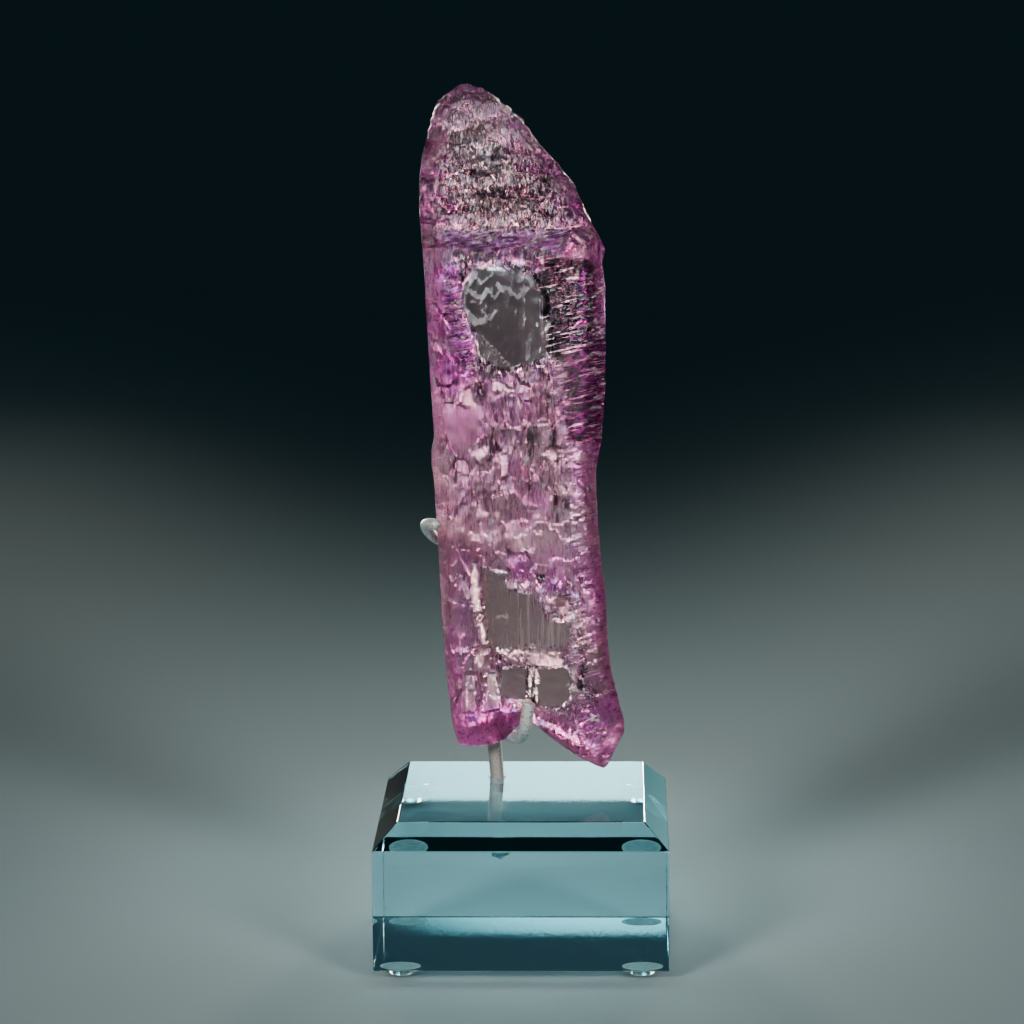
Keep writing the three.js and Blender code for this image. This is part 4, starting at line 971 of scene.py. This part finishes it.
def etchTree():
    inputs = {label: "NodeSocketFloat" for label in relief}
    inputs["Material"] = "NodeSocketMaterial"
    tree, bench, given = growTree("etchRelief", inputs)

    def field(name):
        return bench.add("GeometryNodeInputNamedAttribute", {"data_type": "FLOAT"}, {"Name": name})

    def scaled(vector, size):
        return bench.add("ShaderNodeVectorMath", {"operation": "SCALE"}, {0: vector, "Scale": size})

    place = scaled(bench.add("GeometryNodeInputPosition"), 1000.0)
    x, y, z = bench.parts(place)
    side, share, polish, etch = field("side"), field("share"), field("polish"), field("etch")
    crownShare, across = field("crown"), field("across")
    # the back has a pattern of its own
    shifted = x + side * 60.0 + given["Seed"] * 13.0
    warp = bench.noise(bench.vector(shifted, 0.0, z), 0.35) * 1.6

    def facets(run, rise, metric="EUCLIDEAN"):
        return bench.facets(bench.vector(run, rise, 0.0), True, metric)

    def stroke(wide, long, slope, leanShare):
        chance, offset = facets(shifted / wide + warp, (z - x * slope) / long)[1:]
        lean = offset[0] * (chance[1] - 0.5) * 1.6 + offset[1] * (0.5 - leanShare)
        return (chance[0] - 0.5) * 2 + lean

    # tufts: mounds that stand out at their lower end, with strokes over them
    away, chance, offset = facets(shifted / given["Tuft Width"] + warp, z / given["Tuft Length"])
    tuft = (0.6 - away * away * 1.5 - offset[1] * 0.9 + chance[0] * 0.5) * given["Tuft Height"]
    # the heel marks each tuft's lower end, where the kunzite's colour gets painted shade
    heel = bench.smooth(offset[1], 0.12, -0.4) * (crownShare + 0.35).clamped()
    heel = heel * bench.smooth(z, 160.0, 156.0)
    fine = stroke(given["Stroke Width"], given["Stroke Length"] * 0.7, 0.0, 0.8) * given["Stroke Height"]
    long = stroke(given["Stroke Width"], given["Stroke Length"] * 2.0, 0.0, 0.5) * given["Stroke Height"]
    ripple = stroke(given["Ripple Width"], given["Ripple Length"], given["Ripple Slope"], 0.7)

    # cleavage: square-cornered steps in two sizes, each leaning its own way
    def step(size, drift):
        wide, long = given["Step Width"] * size, given["Step Length"] * size
        chance, offset = facets(shifted / wide + drift, z / long + drift, "CHEBYCHEV")[1:]
        lean = offset[0] * (chance[1] - 0.5) * wide + offset[1] * (chance[2] - 0.5) * long
        rise = (chance[0] - 0.5) * given["Step Height"] * (0.5 + size)
        return chance[0], rise + lean * given["Step Lean"] * 2

    wideTone, wideStep = step(1.0, 0.0)
    smallTone, smallStep = step(0.42, 3.7)
    tone = wideTone * 0.5 + smallTone * 0.5
    flute = bench.noise(bench.vector(shifted / given["Flute Width"], 0.0, z / 22.0), 1.0, 3.0, 0.55, 0.3)
    swell = (bench.noise(bench.vector(shifted, 5.0, z * 0.7), 1.0 / given["Swell Size"]) - 0.5) * 2
    upright = (1 - abs(flute * 2 - 1) * 2) * given["Flute Height"] + long * 0.7
    body = upright * (1 - crownShare) + (tuft + fine) * crownShare
    streaks = bench.noise(bench.vector(shifted / given["Streak Width"], 2.0, z / 12.0), 1.0, 1.0)
    streakHeight = (1 - abs(streaks * 2 - 1) * 2.5) * given["Streak Height"] * field("streak")
    etched = body * (1 - across) + ripple * given["Ripple Height"] * across
    cleaved = (wideStep + smallStep) * (1 - crownShare * 0.8) * (1 - across * 0.6)
    cleaved = cleaved * bench.smooth(share, 0.2, 0.9)
    calm = 1 - bench.smooth(side, 0.0, 1.0) * (1 - crownShare) * 0.5
    height = (etched * (0.12 + etch * 0.88) + cleaved) * (1 - polish) * calm + streakHeight \
        + swell * given["Swell Height"] * (1 - polish * 0.8)
    nibble = bench.noise(place, 0.7, 3.0, 0.6) * given["Rim Nibble"]
    fade = bench.smooth(share, 0.0, 0.15)
    push = scaled(bench.add("GeometryNodeInputNormal"), (height * fade - nibble) * mm)
    # the grid is shaken a little so that no facet shows its rows
    shake = bench.parts(bench.noise(place, 2.3, 1.0, out=1))
    reach = given["Jitter"] * bench.smooth(share, 0.1, 0.5)
    shaken = bench.vector((shake[0] - 0.5) * 2 * reach * mm, 0.0, (shake[2] - 0.5) * 4 * reach * mm)
    offset = bench.add("ShaderNodeVectorMath", {"operation": "ADD"}, {0: push, 1: shaken})
    made = bench.add("GeometryNodeSetPosition", {}, {"Geometry": given["Geometry"], "Offset": offset})
    for name, value in (("level", height), ("tone", tone), ("heel", heel)):
        made = bench.add("GeometryNodeStoreNamedAttribute", {"data_type": "FLOAT", "domain": "POINT"}, {
            "Geometry": made, "Name": name, "Value": value})
    closeTree(bench, made, given["Material"])
    return tree


def makeCrystal():
    form = crystalMesh()
    useTree(form, etchTree(), {**relief, "Material": finishes["kunzite"]})
    crystal = settled(form, "kunziteCrystal")
    crystal.data.shade_smooth()
    crystal.data.set_sharp_from_angle(angle=radians(blade["sharp"]))
    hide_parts("kunzite_crystal")
    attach(crystal, "root")
    print("crystal made:", len(crystal.data.polygons), "faces")


makeCrystal()


# the block, the rod behind the crystal and the hole drilled for it
block = {"side": 57.0, "height": 28.5, "chamfer": 4.75, "bottom": 2.3, "edge": 0.18}
rod = {"diameter": 2.8, "entry": (-5.5, 10.9), "leanX": -0.075, "top": 83.0, "chamfer": 0.4,
       "lip": 0.15, "rings": 24, "sides": 48, "sharp": 30}
drill = {"diameter": 3.5, "depth": 12.5, "mouth": 4.4, "gap": 0.3, "tip": 0.9, "clear": 6.0, "sides": 48}
blockTop = block["bottom"] + block["height"]
rodAxis = Vector((rod["leanX"], 0, 1)).normalized()
rodFoot = Vector((*rod["entry"], blockTop))


# how far a point is from the rod's axis, and how far up it from the block's top
def fromRod(point):
    away = Vector(point) - rodFoot
    rise = away.dot(rodAxis)
    return (away - rodAxis * rise).length, rise


# closed shapes turned about an axis: each profile is radius and rise, and has its own material
def turned(name, profiles, sides, materials=(), foot=rodFoot, axis=rodAxis):
    aside = axis.orthogonal().normalized()
    other = axis.cross(aside)
    points, faces, slots = [], [], []
    for slot, profile in enumerate(profiles):
        rings = []
        for radius, rise in profile:
            centre = foot + axis * rise
            if radius == 0:
                rings.append([len(points)] * sides)
                points.append(centre * mm)
                continue
            rings.append(list(range(len(points), len(points) + sides)))
            for n in range(sides):
                angle = 2 * pi * n / sides
                points.append((centre + (aside * cos(angle) + other * sin(angle)) * radius) * mm)
        for low, high in zip(rings, rings[1:]):
            for n in range(sides):
                after = (n + 1) % sides
                corners = list(dict.fromkeys([low[n], low[after], high[after], high[n]]))
                if len(corners) > 2:
                    faces.append(corners)
                    slots.append(slot)
    piece = meshPiece(name, points, faces, materials)
    piece.data.polygons.foreach_set("material_index", slots)
    return piece


def makeBlock():
    half, top = block["side"] / 2, block["side"] / 2 - block["chamfer"]
    points, faces = [], []
    for reach, z in ((half, block["bottom"]), (half, blockTop - block["chamfer"]), (top, blockTop)):
        points += [(sx * reach * mm, sy * reach * mm, z * mm)
                   for sx, sy in ((-1, -1), (1, -1), (1, 1), (-1, 1))]
    for low in (0, 4):
        faces += [(low + n, low + (n + 1) % 4, low + 4 + (n + 1) % 4, low + 4 + n) for n in range(4)]
    faces += [(3, 2, 1, 0), (8, 9, 10, 11)]
    slots = [finishes[one] for one in ("acrylic", "drilled", "mouth")]
    body = meshPiece("blockForm", points, faces, slots, smooth=False)
    bevel = body.modifiers.new("edge", "BEVEL")
    bevel.width = block["edge"] * mm
    bevel.segments = 2
    bevel.limit_method = "NONE"
    radius = drill["diameter"] / 2
    profile = [(0, -drill["depth"] - drill["tip"]), (radius, -drill["depth"]), (radius, -drill["mouth"]),
               (radius, drill["clear"]), (0, drill["clear"])]
    cutter = turned("cutter", [profile], drill["sides"])
    cut = body.modifiers.new("hole", "BOOLEAN")
    cut.operation = "DIFFERENCE"
    cut.solver = "EXACT"
    cut.object = cutter
    done = settled(body, "acrylicBase")
    bpy.data.objects.remove(cutter)
    # the drill's wall is ground and smooth-shaded, the rest is flat and polished
    for face in done.data.polygons:
        away, rise = fromRod(face.center / mm)
        inHole = away < radius * 1.05 and rise < -0.1
        face.use_smooth = inHole
        atEnd = rise > -drill["mouth"] or rise < -drill["depth"] + 0.1
        face.material_index = (2 if atEnd else 1) if inHole else 0
    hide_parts("acrylic_base")
    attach(done, "root")
    print("block made:", len(done.data.polygons), "faces")


makeBlock()


def makePost():
    radius, chamfer = rod["diameter"] / 2, rod["chamfer"]
    length = (rod["top"] - blockTop) / rodAxis.z
    low = drill["gap"] - drill["depth"]
    profile = [(0, low), (radius - rod["lip"], low), (radius, low + rod["lip"])]
    profile += [(radius, low + (length - low) * n / rod["rings"]) for n in range(1, rod["rings"])]
    profile += [(radius, length - chamfer), (radius - chamfer, length), (0, length)]
    post = turned("mountPost", [profile], rod["sides"], [finishes["post"]])
    post.data.set_sharp_from_angle(angle=radians(rod["sharp"]))
    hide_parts("mount_post")
    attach(post, "root")
    print("post made:", len(post.data.polygons), "faces")


makePost()

hookWire = {"radius": 1.25, "nose": 0.3, "flare": 0.45, "route": [
    (-6.3, 10.9, 42.6), (-4.4, 9.2, 40.9), (-2.9, 6.5, 40.5), (-1.7, 3.8, 40.8), (-0.8, 0.5, 41.6),
    (0, -2.6, 43.1), (0.5, -4.1, 44.7), (0.8, -4.5, 46.6), (1.3, -4.4, 49.8)]}
fingerWire = {"radius": 1.05, "nose": 1.05, "flare": 0.4, "route": [
    (-9.2, 10.9, 79.6), (-12.2, 10.9, 78.9), (-15.7, 9.9, 79.2), (-17.6, 7.6, 80.6),
    (-18.7, 5.2, 82.3), (-19, 2.8, 83.7), (-18.6, 0.7, 84.5), (-17.5, -1, 84.8), (-16.1, -2.1, 84.7)]}
# solder: how far along a wire it ends and where it is full, in metres; start: in rod diameters
wireMake = {"points": 220, "sides": 40, "solder": (0.0032, 0.0008), "start": 0.36, "sharp": 50}


# a centripetal curve through the route's points
def bentPath(route, steps=24):
    points = [np.array(p, float) for p in route]
    points = [2 * points[0] - points[1], *points, 2 * points[-1] - points[-2]]
    path = []
    for a, b, c, d in zip(points, points[1:], points[2:], points[3:]):
        knots = [0.0]
        for p, q in ((a, b), (b, c), (c, d)):
            knots.append(knots[-1] + np.linalg.norm(q - p) ** 0.5)
        for t in np.linspace(knots[1], knots[2], steps, endpoint=False):
            def blend(p, q, low, high):
                return (high - t) / (high - low) * p + (t - low) / (high - low) * q
            ab, bc, cd = (blend(p, q, knots[n], knots[n + 1])
                          for n, (p, q) in enumerate(((a, b), (b, c), (c, d))))
            first, second = blend(ab, bc, knots[0], knots[2]), blend(bc, cd, knots[1], knots[3])
            path.append(blend(first, second, knots[1], knots[2]))
    path.append(points[-2])
    return path


# a round wire with a rounded tip, that flares into solder where it meets the post
def wireTree():
    tree, bench, given = growTree("bentWire", {
        "Radius": "NodeSocketFloat", "Nose": "NodeSocketFloat", "Flare": "NodeSocketFloat",
        "Points": "NodeSocketInt", "Sides": "NodeSocketInt", "Material": "NodeSocketMaterial"})
    radius, nose = given["Radius"], given["Nose"]
    even = bench.add("GeometryNodeResampleCurve", {}, {
        "Curve": given["Geometry"], "Count": given["Points"]})
    walked = bench.add("GeometryNodeSplineParameter", out=1)
    short = (nose - (bench.add("GeometryNodeSplineLength") - walked)).atLeast(0.0)
    fall = nose - (nose * nose - short * short).atLeast(0.0) ** 0.5
    swell = given["Flare"] * bench.smooth(walked, *wireMake["solder"])
    thickness = ((radius - fall + swell) / radius).atLeast(0.02)
    shaped = bench.add("GeometryNodeSetCurveRadius", {}, {"Curve": even, "Radius": thickness})
    ring = bench.add("GeometryNodeCurvePrimitiveCircle", {}, {
        "Resolution": given["Sides"], "Radius": radius})
    skin = bench.add("GeometryNodeCurveToMesh", {}, {
        "Curve": shaped, "Profile Curve": ring, "Scale": bench.add("GeometryNodeInputRadius"),
        "Fill Caps": True})
    soft = bench.add("GeometryNodeSetShadeSmooth", {}, {"Geometry": skin, "Shade Smooth": True})
    closeTree(bench, soft, given["Material"])
    return tree


def makeWire(name, node, wire, tree):
    curve = bpy.data.curves.new(name, "CURVE")
    curve.dimensions = "3D"
    line = curve.splines.new("POLY")
    # the wire starts just inside the post's skin
    path = [p for p in bentPath(wire["route"]) if fromRod(p)[0] > rod["diameter"] * wireMake["start"]]
    line.points.add(len(path) - 1)
    for point, p in zip(line.points, path):
        point.co = (*(p * mm), 1)
    form = bpy.data.objects.new(name, curve)
    bpy.context.scene.collection.objects.link(form)
    useTree(form, tree, {
        "Radius": wire["radius"] * mm, "Nose": wire["nose"] * mm, "Flare": wire["flare"] * mm,
        "Points": wireMake["points"], "Sides": wireMake["sides"], "Material": finishes["wire"]})
    made = settled(form, name)
    made.data.set_sharp_from_angle(angle=radians(wireMake["sharp"]))
    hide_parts(node)
    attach(made, "root")
    print(name, "made:", len(made.data.polygons), "faces")


bentWire = wireTree()
makeWire("hookWire", "hook_wire", hookWire, bentWire)
makeWire("fingerWire", "finger_wire", fingerWire, bentWire)


def domeForm():
    radius, flat, height = bumper["diameter"] / 2, bumper["rest"] / 2, bumper["height"]
    centre = (radius ** 2 + height ** 2 - flat ** 2) / (2 * height)
    ball = (flat ** 2 + centre ** 2) ** 0.5
    start, stop = np.arcsin(flat / ball), np.arcsin(radius / ball)
    top, film = height - bumper["gap"], radius * bumper["glueShare"]
    dome = [(0, 0), (flat * 0.6, 0)]
    dome += [(ball * sin(a), centre - ball * cos(a)) for a in np.linspace(start, stop, bumper["steps"])]
    dome += [(radius - bumper["lip"], top), (0, top)]
    glue = [(0, bumper["glueFrom"]), (film, bumper["glueFrom"]), (film, bumper["glueTo"]),
            (0, bumper["glueTo"])]
    return turned("bumperForm", [dome, glue], bumper["sides"], [finishes["bumper"], finishes["glue"]],
                  Vector((0, 0, 0)), Vector((0, 0, 1)))


def makeBumpers():
    tree, bench, given = growTree("bumperRow", {
        "Pitch X": "NodeSocketFloat", "Pitch Y": "NodeSocketFloat", "Seed": "NodeSocketInt",
        "Glue": "NodeSocketMaterial"})
    corners = bench.add("GeometryNodeMeshGrid", {}, {
        "Size X": given["Pitch X"], "Size Y": given["Pitch Y"], "Vertices X": 2, "Vertices Y": 2})
    spin = bench.add("FunctionNodeRandomValue", {"data_type": "FLOAT"}, {
        "Min": 0.0, "Max": 2 * pi, "Seed": given["Seed"]}, out=1)
    feet = bench.add("GeometryNodeInstanceOnPoints", {}, {
        "Points": corners, "Instance": given["Geometry"], "Rotation": bench.vector(0.0, 0.0, spin)})
    isGlue = bench.add("FunctionNodeCompare", {"data_type": "INT", "operation": "EQUAL"}, {
        2: bench.add("GeometryNodeInputMaterialIndex"), 3: 1})
    closeTree(bench, feet, given["Glue"], isGlue)
    form = domeForm()
    useTree(form, tree, {
        "Pitch X": 2 * bumper["offsetX"] * mm, "Pitch Y": 2 * bumper["offsetY"] * mm,
        "Seed": bumper["seed"], "Glue": finishes["glue"]})
    feet = settled(form, "bumperFeet")
    feet.data.set_sharp_from_angle(angle=radians(bumper["sharp"]))
    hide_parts("bumper_foot_front_left", "bumper_foot_front_right",
                "bumper_foot_back_left", "bumper_foot_back_right")
    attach(feet, "root")
    print("bumpers made:", len(feet.data.polygons), "faces")


makeBumpers()


# floor, lights and air
studio = {"floorReach": 6.0, "floorPale": (0.56, 0.7, 0.74), "floorDim": (0.52, 0.66, 0.7),
          "air": (0.006, 0.012, 0.013), "glow": (0.07, 0.12, 0.15), "glowTop": 0.5}
lamps = [
    # name, place, aim, width, height, watts, spread in degrees, colour
    ("overhead", (0.0, 0.05, 0.4), (0.0, 0.05, 0.0), 0.08, 0.08, 0.011, 25, (0.85, 1.0, 1.0)),
    ("keyLeft", (-0.38, -0.62, 0.42), (0.0, 0.0, 0.09), 0.3, 0.4, 0.14, 22, (1.0, 0.97, 0.93)),
    ("fillRight", (0.42, -0.6, 0.4), (0.0, 0.0, 0.09), 0.3, 0.4, 0.1, 22, (1.0, 0.98, 0.95)),
    ("wingLeft", (-0.35, 0.95, 0.22), (0.0, 0.0, 0.1), 0.15, 0.28, 0.07, 20, (1.0, 0.92, 0.74)),
    ("wingRight", (0.3, 0.95, 0.22), (0.0, 0.0, 0.1), 0.15, 0.28, 0.07, 20, (1.0, 0.92, 0.74)),
    ("rimLeft", (-0.67, 0.67, 0.1), (0.0, 0.0, 0.055), 0.3, 0.1, 0.015, 14, (1.0, 0.9, 0.92)),
    ("rimRight", (0.67, 0.67, 0.1), (0.0, 0.0, 0.055), 0.3, 0.1, 0.02, 14, (1.0, 0.88, 0.96)),
    ("panelBack", (0.0, 1.0, 0.222), (0.0, 0.0, 0.1), 0.36, 0.142, 0.031, 20, (0.5, 0.94, 1.0)),
    ("stripLeft", (-0.34, 0.9, 0.035), (0.0, 0.0, 0.18), 0.32, 0.07, 0.02, 25, (0.45, 0.95, 1.0)),
    ("stripRight", (0.35, 0.9, 0.03), (0.0, 0.0, 0.18), 0.28, 0.06, 0.0036, 25, (0.45, 0.95, 1.0)),
]


def makeFloor():
    material, bench, place = newFinish("floorPaper")
    cloud, tooth = bench.noise(place, 0.01), bench.noise(place, 0.8)
    finishMaterial(material, bench, {
        "Base Color": bench.mixed(cloud, studio["floorPale"], studio["floorDim"]),
        "Roughness": bench.ranged(tooth, 0.8, 0.95), "Specular IOR Level": 0.2,
        "Normal": bench.bump(tooth, 0.1, 0.05)})
    reach = studio["floorReach"]
    corners = [(-reach, -reach, 0), (reach, -reach, 0), (reach, reach, 0), (-reach, reach, 0)]
    meshPiece("floor", corners, [(0, 1, 2, 3)], [material], smooth=False)


def makeLamps():
    for name, place, aim, width, height, watts, spread, colour in lamps:
        lamp = bpy.data.lights.new(name, "AREA")
        lamp.shape = "RECTANGLE"
        lamp.size, lamp.size_y = width, height
        lamp.energy = watts
        lamp.spread = radians(spread)
        lamp.color = colour
        holder = bpy.data.objects.new(name, lamp)
        holder.visible_camera = False
        holder.location = place
        holder.rotation_euler = (Vector(aim) - Vector(place)).to_track_quat("-Z", "Y").to_euler()
        bpy.context.scene.collection.objects.link(holder)


# the air is dim, with a low glow where the studio's walls are
def makeAir():
    world = bpy.data.worlds.new("air")
    world.use_nodes = True
    bench = Bench(world.node_tree)
    rise = bench.parts(bench.add("ShaderNodeTexCoord"))[2]
    glow = bench.smooth(rise, studio["glowTop"], 0.0)
    feed(world.node_tree, world.node_tree.nodes["Background"].inputs[0],
         bench.mixed(glow, studio["air"], studio["glow"]))
    bpy.context.scene.world = world
    bpy.context.scene.view_settings.look = "AgX - Medium High Contrast"


makeFloor()
makeLamps()
makeAir()
print("studio lit:", len(lamps), "lamps")
